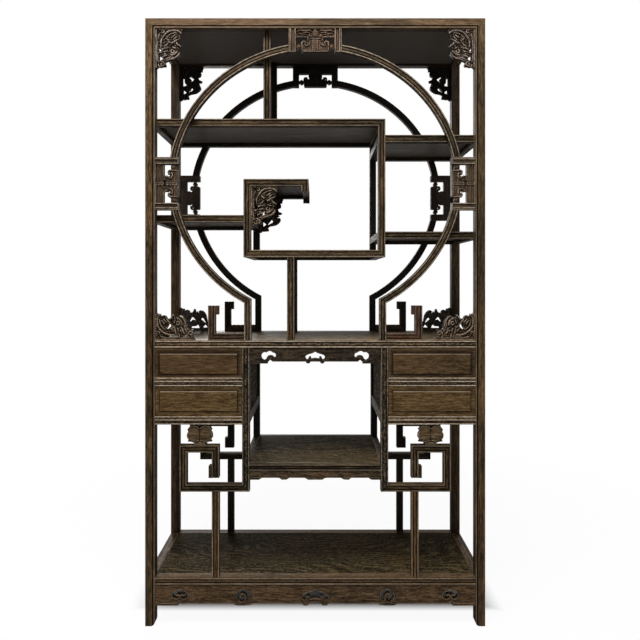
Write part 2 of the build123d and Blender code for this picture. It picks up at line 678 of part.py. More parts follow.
def make_upper_shelves():
    half = stick / 2
    right_x, left_x = box_right - half, box_left + half
    route = [(-half_bay, upper_left_shelf_top - half), (right_x, upper_left_shelf_top - half),
             (right_x, box_bottom + half), (left_x, box_bottom + half),
             (left_x, short_shelf_top - half), (short_shelf_end - half, short_shelf_top - half),
             (short_shelf_end - half, short_shelf_top - short_shelf_turn_down)]
    owners = ["upper_left_shelf", "box_right_posts", "box_bottom_shelf", "box_left_posts",
              "short_shelf", "short_shelf"]
    for owner, bar in zip(owners, fret_bars(route, stick, stick_depth, shelf_front)):
        add(owner, *front_and_rear([bar]))
    post_left = right_x - half
    box_left_inner = box_left + stick
    end_left = short_shelf_end - stick
    add("upper_left_shelf", shelf_panel(-half_bay, post_left, upper_left_shelf_top))
    add("box_bottom_shelf", shelf_panel(box_left_inner, post_left, box_bottom + stick))
    add("short_shelf", shelf_panel(box_left_inner, end_left, short_shelf_top))

    section = beaded_section(stick, stick_depth)
    for name, left, right, top in (
            ("lower_left_shelf", -half_bay, box_left, lower_left_shelf_top),
            ("upper_right_shelf", box_right, half_bay, upper_right_shelf_top),
            ("lower_right_shelf", box_right, half_bay, lower_right_shelf_top)):
        rail = level_bar(left, right, top, shelf_front, section)
        add(name, *front_and_rear([rail]), shelf_panel(left, right, top))
        add("shelf_side_rails", outer_side_rail(1 if right > 0 else -1, top))
    add("shelf_side_rails", outer_side_rail(-1, upper_left_shelf_top))

    box_top = box_bottom + stick
    for left, top in ((post_left, upper_left_shelf_top), (post_left, upper_right_shelf_top),
                      (post_left, lower_right_shelf_top), (post_left, box_top),
                      (box_left, box_top), (box_left, lower_left_shelf_top),
                      (box_left, short_shelf_top), (end_left, short_shelf_top)):
        add("shelf_side_rails", cross_rail(left, top))

    divider_top = top_underside + panel_recess
    divider = upright_bar(divider_left, upper_left_shelf_top, divider_top, shelf_front, section)
    divider -= board(divider_left, divider_left + stick, shelf_front, inner_rail_face,
                     top_underside, divider_top)
    add("divider_posts", *front_and_rear([divider]))
    centre = upright_bar(centre_post_left, deck_top, box_bottom, shelf_front, section)
    add("centre_posts", *front_and_rear([centre]))


# ---- carved brackets ----
def bracket_cut(*corners):
    """An outline with its corners in hundredths of a bracket's long and short edges."""
    places = [(u * bracket_long / 100, v * bracket_short / 100) for u, v in corners]
    return Polygon(*places, align=None)


def bracket_outline():
    """Pierced vine scroll, its long edge along u and its short edge along v."""
    leaves = [(0, 0), (0, 100), (5, 100), (8, 93), (13, 97), (15, 88), (21, 92), (27, 88), (31, 76),
              (38, 83), (42, 95), (46, 93), (48, 78), (52, 86), (56, 72), (57, 87)]
    scroll = [(63, 90), (69, 86), (75, 77), (79, 66), (81, 52), (81, 43)]
    foot = [(87, 35), (92, 39), (96, 38), (98, 9), (100, 8), (100, 0)]
    outline = bracket_cut(*leaves, *scroll, *foot)
    outline -= bracket_cut((33, 13), (58, 13), (54, 28), (48, 21), (36, 21))
    outline -= bracket_cut((68, 15), (82, 15), (76, 28))
    outline -= bracket_cut((76, 35), (62, 50), (65, 57), (70, 55))
    return outline - bracket_cut((48, 46), (37, 60), (29, 41), (32, 40), (38, 49))


def make_brackets():
    face = front + bracket_setback
    outline = bracket_outline()
    along_post = Pos(-half_bay, top_underside) * Rot(0, 0, -90) * outline
    corner = sawn(along_post, face, bracket_thickness)
    add("corner_brackets", *both_sides(front_and_rear([corner])))
    on_deck = Pos(-half_bay, deck_top) * outline
    carving = sawn(on_deck, face, bracket_thickness)
    add("deck_carvings", *both_sides(front_and_rear([carving])))
    under_shelf = Pos(box_left + stick, short_shelf_top - stick) * Rot(0, 0, -90)
    bracket = sawn(under_shelf * outline, shelf_front + bracket_setback, bracket_thickness)
    add("shelf_brackets", *front_and_rear([bracket]))


make_main_frame()
framed_panel("deck", half_bay, deck_top, deck_rail_height, deck_rail_depth, post_side,
             (-kneehole_half - inner_post_width / 2, kneehole_half + inner_post_width / 2))
framed_panel("base", half_bay, base_top, base_rail_height, frame_rail_depth, post_side,
             (-half_bay / 2, 0, half_bay / 2))
framed_panel("kneehole_shelf", kneehole_half, kneehole_shelf_top, kneehole_shelf_height,
             inner_post_depth, inner_post_width, (0,))
make_drawer_units()
make_lower_frets()
make_medallions()
make_aprons()
make_arch()
make_cartouches()
make_upper_shelves()
make_brackets()
for level, opening_bottom in (("upper", upper_opening_bottom), ("lower", lower_opening_bottom)):
    make_drawer(f"drawer_{level}_left", -1, opening_bottom)
    make_drawer(f"drawer_{level}_right", 1, opening_bottom)

os.makedirs("parts", exist_ok=True)
for name, solids in nodes.items():
    pieces = [piece for solid in solids for piece in solid.solids()]
    export_step(Compound(children=pieces), f"parts/{name}.step")
print(len(nodes), "nodes")
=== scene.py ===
import json
import math
import bmesh
import bpy
import numpy as np
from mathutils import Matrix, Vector
from mathutils.geometry import delaunay_2d_cdt

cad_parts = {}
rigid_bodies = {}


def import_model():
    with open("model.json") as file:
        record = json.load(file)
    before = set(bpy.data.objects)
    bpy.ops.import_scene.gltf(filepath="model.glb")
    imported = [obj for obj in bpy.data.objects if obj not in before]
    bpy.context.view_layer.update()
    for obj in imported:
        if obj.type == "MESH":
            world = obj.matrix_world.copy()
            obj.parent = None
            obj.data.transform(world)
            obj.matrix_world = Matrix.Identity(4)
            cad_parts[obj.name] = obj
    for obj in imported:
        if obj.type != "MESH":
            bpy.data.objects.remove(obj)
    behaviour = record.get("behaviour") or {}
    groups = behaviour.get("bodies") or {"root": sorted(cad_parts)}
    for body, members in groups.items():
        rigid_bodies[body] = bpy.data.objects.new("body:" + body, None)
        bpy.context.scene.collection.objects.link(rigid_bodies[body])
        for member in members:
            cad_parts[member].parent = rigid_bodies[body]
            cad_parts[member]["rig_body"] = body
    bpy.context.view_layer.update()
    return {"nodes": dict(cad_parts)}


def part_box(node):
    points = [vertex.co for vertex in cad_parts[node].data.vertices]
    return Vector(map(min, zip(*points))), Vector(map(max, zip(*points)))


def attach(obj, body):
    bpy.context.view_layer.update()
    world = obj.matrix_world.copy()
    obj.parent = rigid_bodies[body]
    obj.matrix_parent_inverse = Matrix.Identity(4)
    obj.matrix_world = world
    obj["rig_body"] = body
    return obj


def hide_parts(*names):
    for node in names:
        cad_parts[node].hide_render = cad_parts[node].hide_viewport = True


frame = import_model()
nodes = frame["nodes"]
print("frame loaded:", len(nodes), "nodes")

# linear colours of the pores, the ground and the lightest streaks
tones = {
    "frame": ((0.0090, 0.0055, 0.0022), (0.036, 0.0230, 0.0098), (0.094, 0.064, 0.033)),
    "arch": ((0.0060, 0.0038, 0.0017), (0.027, 0.0180, 0.0086), (0.078, 0.057, 0.034)),
    "dim": ((0.0050, 0.0032, 0.0014), (0.023, 0.0155, 0.0070), (0.070, 0.052, 0.030)),
    "black": ((0.0020, 0.0016, 0.0010), (0.0050, 0.0040, 0.0026), (0.036, 0.029, 0.019)),
    "top": ((0.0240, 0.0140, 0.0060), (0.062, 0.0395, 0.0205), (0.112, 0.077, 0.045)),
    "red": ((0.0120, 0.0066, 0.0022), (0.052, 0.0318, 0.0120), (0.108, 0.072, 0.034)),
    "apron": ((0.0085, 0.0048, 0.0018), (0.036, 0.0212, 0.0092), (0.088, 0.060, 0.032)),
    "board": ((0.0040, 0.0028, 0.0010), (0.0172, 0.0130, 0.0048), (0.064, 0.049, 0.022)),
    "deck": ((0.0090, 0.0062, 0.0026), (0.034, 0.0262, 0.0124), (0.090, 0.073, 0.043)),
    "drawer": ((0.0200, 0.0110, 0.0042), (0.050, 0.0305, 0.0128), (0.088, 0.058, 0.029)),
    "golden": ((0.0230, 0.0125, 0.0040), (0.058, 0.0365, 0.0138), (0.108, 0.074, 0.032)),
    "carving": ((0.0060, 0.0036, 0.0018), (0.034, 0.0215, 0.0114), (0.085, 0.056, 0.033)),
    "pierced": ((0.0080, 0.0042, 0.0026), (0.038, 0.0215, 0.0120), (0.090, 0.057, 0.035)),
    "plum": ((0.0060, 0.0034, 0.0022), (0.027, 0.0164, 0.0096), (0.074, 0.051, 0.032)),
    "foot": ((0.0095, 0.0048, 0.0026), (0.037, 0.0200, 0.0112), (0.084, 0.051, 0.031)),
    "medallion": ((0.0100, 0.0062, 0.0026), (0.040, 0.0272, 0.0126), (0.118, 0.088, 0.052)),
    "lining": ((0.050, 0.031, 0.016), (0.110, 0.070, 0.036), (0.180, 0.124, 0.070)),
}
# colours laid over the wood: dirt with painted shade in quirks, painted shade inside the cabinet, and a flat
# grey painted on sides that look down as painted light
paintedShadeLightAndGrime = {"grime": (0.0020, 0.0014, 0.0009), "inside": (0.0060, 0.0044, 0.0030),
        "under": (0.0660, 0.0560, 0.0480)}
warmTint = (1.0, 0.86, 0.78)

# What a finish has unless it says otherwise. figure is how far the streaks wander, in metres; broad is
# the share of wide streaks; gloss is the specular level; edge is the colour of rubbed edges, which also
# stands as a painted highlight on them, and of specks; the rest are strengths, where specks are finer than
# flecks, broken is how patchy the rubbed and highlighted edges are and under is how much of a flat grey,
# painted light, a side that looks down takes. grain is the axis of a whole packed board.
usual = {"tone": "frame", "figure": 0.004, "broad": 0.40, "contrast": 1.0, "flecks": 0.20, "wear": 0.62,
         "rings": 0.010, "specks": 0.03, "broken": 0.2, "gloss": 0.045, "under": 0.85,
         "edge": (0.250, 0.200, 0.146), "grain": ""}
finishes = {
    "frameWood": {"tone": "frame", "broad": 0.45, "contrast": 1.15, "flecks": 0.30, "wear": 0.48,
                  "broken": 0.5},
    "archWood": {"tone": "arch", "contrast": 1.1, "flecks": 0.25, "wear": 0.85, "specks": 0.09,
                 "broken": 0.75},
    "postWood": {"tone": "frame", "wear": 0.34},
    "deckWood": {"tone": "frame", "broad": 0.35, "contrast": 1.2, "flecks": 0.40, "wear": 1.0,
                 "specks": 0.25, "broken": 0.5, "edge": (0.38, 0.315, 0.240)},
    "dimWood": {"tone": "dim", "broad": 0.45, "contrast": 1.2, "flecks": 0.35, "wear": 0.42, "broken": 0.4,
                "gloss": 0.025, "under": 0.95},
    "speckledWood": {"tone": "black", "figure": 0.005, "broad": 0.30, "contrast": 1.2, "flecks": 0.35,
                     "wear": 0.55, "specks": 0.36, "broken": 0.8, "edge": (0.240, 0.184, 0.122)},
    "topWood": {"tone": "top", "figure": 0.005, "contrast": 0.9, "flecks": 0.15, "wear": 0.26},
    "redWood": {"tone": "red", "specks": 0.05, "broken": 0.5},
    "footWood": {"tone": "foot", "broad": 0.25, "contrast": 0.8, "flecks": 0.15, "wear": 0.34,
                 "specks": 0.08, "broken": 0.6},
    "railWood": {"tone": "drawer", "flecks": 0.35, "wear": 0.80, "specks": 0.12, "broken": 0.5},
    "apronWood": {"tone": "apron", "figure": 0.012, "broad": 0.15, "contrast": 0.9, "wear": 0.34,
                  "specks": 0.10, "broken": 0.5},
    "deckApronWood": {"tone": "black", "figure": 0.016, "broad": 0.20, "flecks": 0.06, "wear": 0.24,
                      "specks": 0.075, "broken": 0.7},
    "shelfApronWood": {"tone": "dim", "figure": 0.010, "broad": 0.20, "flecks": 0.30, "wear": 0.40,
                       "specks": 0.12, "broken": 0.5},
    "boardWood": {"tone": "board", "figure": 0.060, "broad": 0.15, "contrast": 0.80, "flecks": 0.10,
                  "wear": 0.30, "grain": "x", "rings": 0.060, "specks": 0.10, "gloss": 0.004, "under": 1.0},
    "deckBoardWood": {"tone": "deck", "figure": 0.030, "broad": 0.25, "contrast": 0.9, "flecks": 0.25,
                      "wear": 0.30, "grain": "x", "rings": 0.04, "specks": 0.08, "gloss": 0.008},
    "crossBoardWood": {"tone": "dim", "figure": 0.020, "broad": 0.25, "contrast": 0.9, "wear": 0.30,
                       "grain": "y", "rings": 0.04, "specks": 0.04, "gloss": 0.002},
    "upperDrawerWood": {"tone": "drawer", "figure": 0.008, "broad": 0.22, "contrast": 0.9, "flecks": 0.40},
    "lowerDrawerWood": {"tone": "golden", "figure": 0.012, "broad": 0.25, "flecks": 0.50, "wear": 0.75},
    "carvedWood": {"tone": "carving", "broad": 0.30, "flecks": 0.10, "wear": 0.75, "specks": 0.06,
                   "broken": 0.80},
    "darkPiercedWood": {"tone": "plum", "figure": 0.003, "broad": 0.30, "contrast": 0.8, "wear": 0.80,
                        "specks": 0.10, "broken": 0.6},
    "piercedWood": {"tone": "pierced", "figure": 0.003, "broad": 0.30, "contrast": 0.8, "flecks": 0.15,
                    "specks": 0.08, "broken": 0.7},
    "medallionWood": {"tone": "medallion", "figure": 0.006, "contrast": 0.8, "wear": 0.90, "specks": 0.10,
                      "broken": 0.4},
    "liningWood": {"tone": "lining", "figure": 0.010, "contrast": 0.7, "wear": 0.20, "grain": "y",
                   "under": 0.0, "gloss": 0.012},
}
finishes["shadedWood"] = {**finishes["dimWood"], "under": 0.45}
finishes["greyCarvedWood"] = {**finishes["carvedWood"], "wear": 0.78, "edge": (0.258, 0.216, 0.186)}

# repeats per metre along and across the grain, detail and roughness
noises = {
    "sway": (2.6, 7.0, 3.0, 0.5), "ripple": (15.0, 9.0, 2.0, 0.5), "cloud": (3.0, 9.0, 2.0, 0.5),
    "broad": (5.0, 85.0, 4.0, 0.62), "fine": (24.0, 205.0, 4.0, 0.65), "heart": (1.3, 5.0, 1.5, 0.4),
    "dashes": (62.0, 215.0, 3.0, 0.6), "dots": (120.0, 300.0, 2.0, 0.6), "pores": (55.0, 1500.0, 2.0, 0.5),
    "patch": (9.0, 30.0, 4.0, 0.6), "chips": (95.0, 240.0, 3.0, 0.6),
}
# where each mask starts and where it is full
masks = {"fleck": (0.52, 0.62), "speck": (0.51, 0.57), "pore": (0.36, 0.46), "patch": (0.30, 0.62),
         "chip": (0.56, 0.42), "crest": (0.62, 1.0), "quirk": (0.44, 0.06), "warm": (0.35, 0.65),
         "down": (-0.2, -0.8), "under": (0.0, -1.0)}
grainForm = {"sway": 3.0, "cloud": 0.35, "streak": 3.8, "heart": 0.42, "ringTurn": 560.0, "lightestPatch": 0.35}
finishForm = {"boardShrink": (1.0, 0.7, 0.7), "boardCrest": 0.46, "rampDark": 0.12, "rampLight": 0.92,
              "insideShare": 0.9, "roughest": 0.56, "smoothest": 0.38, "bump": 0.35, "bumpDepth": 0.0004}


def newGroup(name, inputs, outputs):
    group = bpy.data.node_groups.new(name, "ShaderNodeTree")
    for label, kind, value in inputs:
        socket = group.interface.new_socket(label, in_out="INPUT", socket_type="NodeSocket" + kind)
        if value is not None:
            socket.default_value = value
    for label in outputs:
        group.interface.new_socket(label, in_out="OUTPUT", socket_type="NodeSocketFloat")
    return group, group.nodes.new("NodeGroupInput").outputs, group.nodes.new("NodeGroupOutput").inputs


# Adds a shader node; links holds sources to connect and constants to set, by socket.
def wire(tree, kind, links=None, **settings):
    node = tree.nodes.new("ShaderNode" + kind)
    for key, value in settings.items():
        setattr(node, key, value)
    for socket, source in (links or {}).items():
        if hasattr(source, "links"):
            tree.links.new(source, node.inputs[socket])
        else:
            node.inputs[socket].default_value = source
    return node


def add(tree, a, b):
    return wire(tree, "Math", {0: a, 1: b}, operation="ADD").outputs[0]


def less(tree, a, b, clamp=False):
    return wire(tree, "Math", {0: a, 1: b}, operation="SUBTRACT", use_clamp=clamp).outputs[0]


def times(tree, a, b, clamp=False):
    return wire(tree, "Math", {0: a, 1: b}, operation="MULTIPLY", use_clamp=clamp).outputs[0]


def larger(tree, a, b):
    return wire(tree, "Math", {0: a, 1: b}, operation="MAXIMUM").outputs[0]


def ranged(tree, value, low, high, toLow=0.0, toHigh=1.0):
    return wire(tree, "MapRange", {"Value": value, "From Min": low, "From Max": high,
                                             "To Min": toLow, "To Max": toHigh}).outputs[0]


def noiseOf(tree, place, name):
    along, across, detail, rough = noises[name]
    scaled = wire(tree, "VectorMath", {0: place, 1: (along, across, across)}, operation="MULTIPLY")
    return wire(tree, "TexNoise", {"Vector": scaled.outputs[0], "Scale": 1.0, "Detail": detail,
                                             "Roughness": rough}).outputs["Fac"]


# Streaky grain along the place's X, with light flecks and open pores.
def buildGrainGroup():
    group, given, end = newGroup(
        "streakyGrain",
        [("Place", "Vector", None), ("Figure", "Float", 0.004), ("Broad", "Float", 0.4),
         ("Contrast", "Float", 1.0), ("Rings", "Float", 0.0)],
        ("Streak", "Fleck", "Speck", "Pore", "Height", "Cloud"))
    place = given["Place"]
    sway = times(group, less(group, noiseOf(group, place, "sway"), 0.5), grainForm["sway"])
    wander = add(group, sway, less(group, noiseOf(group, place, "ripple"), 0.5))
    shift = times(group, wander, given["Figure"])
    shiftVector = wire(group, "CombineXYZ", {1: shift, 2: shift}).outputs[0]
    bent = wire(group, "VectorMath", {0: place, 1: shiftVector}, operation="ADD").outputs[0]
    cloudy = noiseOf(group, place, "cloud")
    fine = noiseOf(group, bent, "fine")
    # growth rings cut by the face, as arches and loops
    parts = wire(group, "SeparateXYZ", {0: place}).outputs
    heart = times(group, noiseOf(group, place, "heart"), grainForm["heart"])
    turn = times(group, add(group, add(group, parts["Y"], parts["Z"]), heart), grainForm["ringTurn"])
    wave = wire(group, "Math", {0: turn}, operation="SINE").outputs[0]
    rings = times(group, wave, given["Rings"])
    wide = times(group, less(group, noiseOf(group, bent, "broad"), fine), given["Broad"])
    shade = times(group, less(group, cloudy, 0.5), grainForm["cloud"])
    both = add(group, add(group, add(group, wide, fine), rings), shade)
    centred = times(group, less(group, both, 0.5), given["Contrast"])
    lifted = wire(group, "Math", {0: times(group, centred, grainForm["streak"]), 1: 0.5},
                  operation="ADD", use_clamp=True).outputs[0]
    pore = ranged(group, noiseOf(group, bent, "pores"), *masks["pore"])
    for label, value in (("Streak", lifted), ("Pore", pore), ("Cloud", cloudy),
                         ("Fleck", ranged(group, noiseOf(group, bent, "dashes"), *masks["fleck"])),
                         ("Speck", ranged(group, noiseOf(group, bent, "dots"), *masks["speck"])),
                         ("Height", add(group, times(group, fine, 0.5), times(group, pore, 0.5)))):
        group.links.new(value, end[label])
    return group


# Rubbed high edges that also carry a painted highlight, and dark quirks and recesses, dirt and painted shade
# together, from the crest value that every moulded piece carries.
def buildWearAndLightGroup():
    group, given, end = newGroup(
        "rubbedEdges",
        [("Place", "Vector", None), ("Crest", "Float", 0.5), ("Amount", "Float", 0.6),
         ("Broken", "Float", 0.2)],
        ("Worn", "Grime"))
    patch = ranged(group, noiseOf(group, given["Place"], "patch"), *masks["patch"], grainForm["lightestPatch"])
    high = ranged(group, given["Crest"], *masks["crest"])
    chips = ranged(group, noiseOf(group, given["Place"], "chips"), *masks["chip"])
    whole = less(group, 1.0, times(group, chips, given["Broken"]), True)
    # rubbed edges, which also carry a painted highlight
    rubbed = times(group, times(group, high, patch), given["Amount"])
    group.links.new(times(group, rubbed, whole), end["Worn"])
    # the dark in quirks and recesses: dirt and painted shade
    group.links.new(ranged(group, given["Crest"], *masks["quirk"]), end["Grime"])
    return group


grainGroup = buildGrainGroup()
wearAndLightGroup = buildWearAndLightGroup()


def mixed(tree, share, first, second, **settings):
    return wire(tree, "Mix", {0: share, 6: first, 7: second}, data_type="RGBA", **settings).outputs[2]


# Where the grain lies, how much painted shade the inner side takes and how much a side looks down, which sets
# its painted grey light. A whole packed board has no places of its own, so its axes and its normals serve.
def surfaceOf(tree, finish, wear):
    if not finish["grain"]:
        place = wire(tree, "Attribute", attribute_name="grainPlace").outputs["Vector"]
        crest = wire(tree, "Attribute", attribute_name="crest").outputs["Fac"]
        inside = wire(tree, "Attribute", attribute_name="inside").outputs["Fac"]
        tree.links.new(crest, wear.inputs["Crest"])
        return place, inside, ranged(tree, inside, *masks["under"])
    place = wire(tree, "TexCoord").outputs["Object"]
    if finish["grain"] == "y":
        place = wire(tree, "VectorRotate", {"Vector": place, "Rotation": (0, 0, math.pi / 2)},
                     rotation_type="EULER_XYZ").outputs[0]
    place = wire(tree, "VectorMath", {0: place, 1: finishForm["boardShrink"]},
                 operation="MULTIPLY").outputs[0]
    wear.inputs["Crest"].default_value = finishForm["boardCrest"]
    # a packed board's sides that look down take the flat grey of painted light
    normal = wire(tree, "NewGeometry").outputs["Normal"]
    down = wire(tree, "SeparateXYZ", {0: normal}).outputs["Z"]
    return place, None, ranged(tree, down, *masks["down"])


def makeWood(name):
    finish = {**usual, **finishes[name]}
    dark, mid, light = ((*colour, 1) for colour in tones[finish["tone"]])
    edge = (*finish["edge"], 1)
    material = bpy.data.materials.new(name)
    material.use_nodes = True
    tree = material.node_tree
    shader = tree.nodes["Principled BSDF"]
    wear = wire(tree, "Group", node_tree=wearAndLightGroup)
    place, inside, under = surfaceOf(tree, finish, wear)
    wear.inputs["Amount"].default_value = finish["wear"]
    wear.inputs["Broken"].default_value = finish["broken"]
    tree.links.new(place, wear.inputs["Place"])
    grain = wire(tree, "Group", {"Place": place}, node_tree=grainGroup)
    for label in ("figure", "broad", "contrast", "rings"):
        grain.inputs[label.title()].default_value = finish[label]
    ramp = wire(tree, "ValToRGB", {"Fac": grain.outputs["Streak"]})
    low, high = ramp.color_ramp.elements
    low.position, high.position = finishForm["rampDark"], finishForm["rampLight"]
    low.color, high.color = dark, light
    ramp.color_ramp.elements.new(0.50).color = mid
    colour = mixed(tree, times(tree, grain.outputs["Fleck"], finish["flecks"]), ramp.outputs[0], light)
    colour = mixed(tree, times(tree, grain.outputs["Speck"], finish["specks"]), colour, edge)
    colour = mixed(tree, grain.outputs["Pore"], dark, colour)
    colour = mixed(tree, ranged(tree, grain.outputs["Cloud"], *masks["warm"]), colour, (*warmTint, 1),
                   blend_type="MULTIPLY")
    # dirt and painted shade in quirks and recesses
    colour = mixed(tree, wear.outputs["Grime"], colour, (*paintedShadeLightAndGrime["grime"], 1))
    # rubbed edges and the painted highlight on them, in the edge colour
    colour = mixed(tree, wear.outputs["Worn"], colour, edge)
    # painted shade on sides that look into the cabinet
    if inside is not None:
        colour = mixed(tree, times(tree, inside, finishForm["insideShare"], True), colour, (*paintedShadeLightAndGrime["inside"], 1))
    # a flat grey painted on sides that look down, as painted light
    colour = mixed(tree, times(tree, under, finish["under"]), colour, (*paintedShadeLightAndGrime["under"], 1))
    tree.links.new(colour, shader.inputs["Base Color"])
    shader.inputs["Specular IOR Level"].default_value = finish["gloss"]
    rough = ranged(tree, grain.outputs["Streak"], 0.0, 1.0, finishForm["roughest"], finishForm["smoothest"])
    tree.links.new(rough, shader.inputs["Roughness"])
    bump = wire(tree, "Bump", {"Strength": finishForm["bump"], "Distance": finishForm["bumpDepth"],
                                         "Height": grain.outputs["Height"]})
    tree.links.new(bump.outputs[0], shader.inputs["Normal"])
    return material


wood = {name: makeWood(name) for name in finishes}
print("finishes ready")


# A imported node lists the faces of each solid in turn, so a solid ends where every edge has met its pair.
def solidsOf(node):
    mesh = nodes[node].data
    places = [tuple(round(c, 6) for c in vertex.co) for vertex in mesh.vertices]
    solids, corners, openEdges = [], set(), set()
    for polygon in mesh.polygons:
        loop = [places[i] for i in polygon.vertices]
        for a, b in zip(loop, loop[1:] + loop[:1]):
            openEdges ^= {(a, b) if a < b else (b, a)}
        corners.update(loop)
        if not openEdges:
            solids.append(np.array(sorted(corners)))
            corners = set()
    return solids


def newShell():
    return {"points": [], "faces": [], "places": [], "crests": [], "insides": []}


def addRings(shell, rings, places, crests, insides=0.0):
    stations, count = rings.shape[:2]
    base = len(shell["points"])
    shell["points"].extend(map(tuple, rings.reshape(-1, 3)))
    shell["places"].extend(map(tuple, places.reshape(-1, 3)))
    shell["crests"].extend(np.broadcast_to(crests, (stations, count)).ravel())
    shell["insides"].extend(np.broadcast_to(insides, (stations, count)).ravel())
    for a in range(base, base + (stations - 1) * count, count):
        b = a + count
        shell["faces"].extend([(a + i, a + (i + 1) % count, b + (i + 1) % count, b + i) for i in range(count)])
    for end in (base, base + (stations - 1) * count):
        shell["faces"].append(tuple(range(end, end + count)))


def pieceName(node):
    first, *others = node.split("_")
    return first + "".join(word.title() for word in others)


def makePiece(node, shell, finish, sharpAngle=32):
    mesh = bpy.data.meshes.new(pieceName(node))
    mesh.from_pydata(shell["points"], [], shell["faces"])
    mesh.attributes.new("grainPlace", "FLOAT_VECTOR", "POINT").data.foreach_set(
        "vector", np.array(shell["places"], np.float32).ravel())
    for label in ("crests", "insides"):
        mesh.attributes.new(label[:-1], "FLOAT", "POINT").data.foreach_set(
            "value", np.array(shell[label], np.float32))
    work = bmesh.new()
    work.from_mesh(mesh)
    bmesh.ops.recalc_face_normals(work, faces=work.faces)
    work.to_mesh(mesh)
    work.free()
    mesh.shade_smooth()
    mesh.set_sharp_from_angle(angle=math.radians(sharpAngle))
    mesh.materials.append(wood[finish])
    piece = bpy.data.objects.new(pieceName(node), mesh)
    bpy.context.scene.collection.objects.link(piece)
    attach(piece, nodes[node]["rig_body"])
    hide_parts(node)


moulding = {"bead": 0.0044, "rise": 0.0012, "quirk": 0.0026, "quirkDepth": 0.0030, "easing": 0.0006,
            "beadSteps": 6, "secondBead": 0.46}
# how rubbed and how highlighted a place is, from 0 at the bottom of a quirk, where dirt and painted shade
# go, to 1 on top of a bead, where the painted highlight goes
crestAt = {"quirk": 0.0, "shoulder": 0.34, "beadFoot": 0.35, "flat": 0.42, "innerFace": 0.45, "face": 0.46,
           "side": 0.5, "rear": 0.55, "plain": 0.56, "corner": 0.58, "lowFlat": 0.60}
# the painted shade on the side of a stick that looks into the cabinet, by its share of the depth; on the
# posts it turns into the painted grey light at their upper end
inner = {"from": 0.30, "fade": 0.5, "postTop": 1.7, "postPower": 20}


def halfRound(start, width, rise):
    foot = crestAt["beadFoot"]
    return [(start + width / 2 * (1 - math.cos(t)), rise * (1 - math.sin(t)), foot + (1 - foot) * math.sin(t))
            for t in np.linspace(0, math.pi, moulding["beadSteps"])]


def mouldingSizes():
    return (moulding[label] for label in ("bead", "rise", "quirk", "quirkDepth"))


def edgeAndQuirk():
    bead, rise, quirk, deep = mouldingSizes()
    return halfRound(0, bead, rise) + [(bead + quirk * 0.3, deep, crestAt["quirk"]),
                                       (bead + quirk, deep, crestAt["quirk"]),
                                       (bead + quirk * 1.3, rise, crestAt["shoulder"])]


def backOf(width, thickness):
    ease = moulding["easing"]
    return [(width, thickness - ease, crestAt["side"]), (width - ease, thickness, crestAt["rear"]),
            (ease, thickness, crestAt["rear"]), (0, thickness - ease, crestAt["side"])]


# A closed section as (across, depth, crest): a bead along each edge, a quirk inside it, a flat between.
def doubleBead(width, thickness):
    half = edgeAndQuirk() + [(width * 0.42, moulding["rise"] * 0.9, crestAt["flat"])]
    other = [(width - u, d, c) for u, d, c in reversed(half)]
    return np.array(half + other + backOf(width, thickness))


# As the double bead, with a third bead below the upper one.
def tripleBead(width, thickness):
    bead, rise, quirk, deep = mouldingSizes()
    second = width * moulding["secondBead"]
    middle = [(second - quirk * 1.2, rise, crestAt["shoulder"]), (second - quirk, deep, crestAt["quirk"]),
              (second, deep, crestAt["quirk"]), *halfRound(second, bead, rise),
              (second + bead + quirk * 0.3, rise, crestAt["side"]),
              (width - bead - quirk * 0.4, rise, crestAt["lowFlat"])]
    high = [(width - u, d, c) for u, d, c in reversed(halfRound(0, bead, rise))]
    return np.array(edgeAndQuirk() + middle + high + backOf(width, thickness))


def plainBar(width, thickness):
    ease = moulding["easing"] * 1.5
    corners = [(0, ease), (ease, 0), (width - ease, 0), (width, ease),
               (width, thickness - ease), (width - ease, thickness), (ease, thickness), (0, thickness - ease)]
    return np.array([(u, d, crestAt["plain"]) for u, d in corners])


# One bead along the inner edge, set off by a quirk, as on the corner posts and the top rails.
def quirkedBar(width, thickness):
    bead, rise, quirk, deep = mouldingSizes()
    ease, start = moulding["easing"], width - bead
    front = [(0, ease, crestAt["side"]), (ease, 0, crestAt["corner"]), (width * 0.3, 0.0, crestAt["face"]),
             (start - quirk * 1.6, 0.0, crestAt["innerFace"]), (start - quirk * 1.3, deep, crestAt["quirk"]),
             (start - quirk * 0.3, deep, crestAt["quirk"]), *halfRound(start, bead, rise * 1.4)]
    return np.array(front + backOf(width, thickness))


# Shifts each stick's grain by its own amount, so that no two show the same streaks.
def grainOffset(key):
    value = sum((i + 3) * ord(c) for i, c in enumerate(key))
    return np.array([(value * 0.37) % 7.0, (value * 0.53) % 3.0, (value * 0.71) % 3.0])


def innerShare(profile, thickness):
    return np.clip((profile[:, 1] / thickness - inner["from"]) / inner["fade"], 0, 1)


def axesOf(size, depthAxis):
    rest = [a for a in range(3) if a != depthAxis]
    along = max(rest, key=lambda a: size[a])
    return along, rest[0] if along == rest[1] else rest[1]


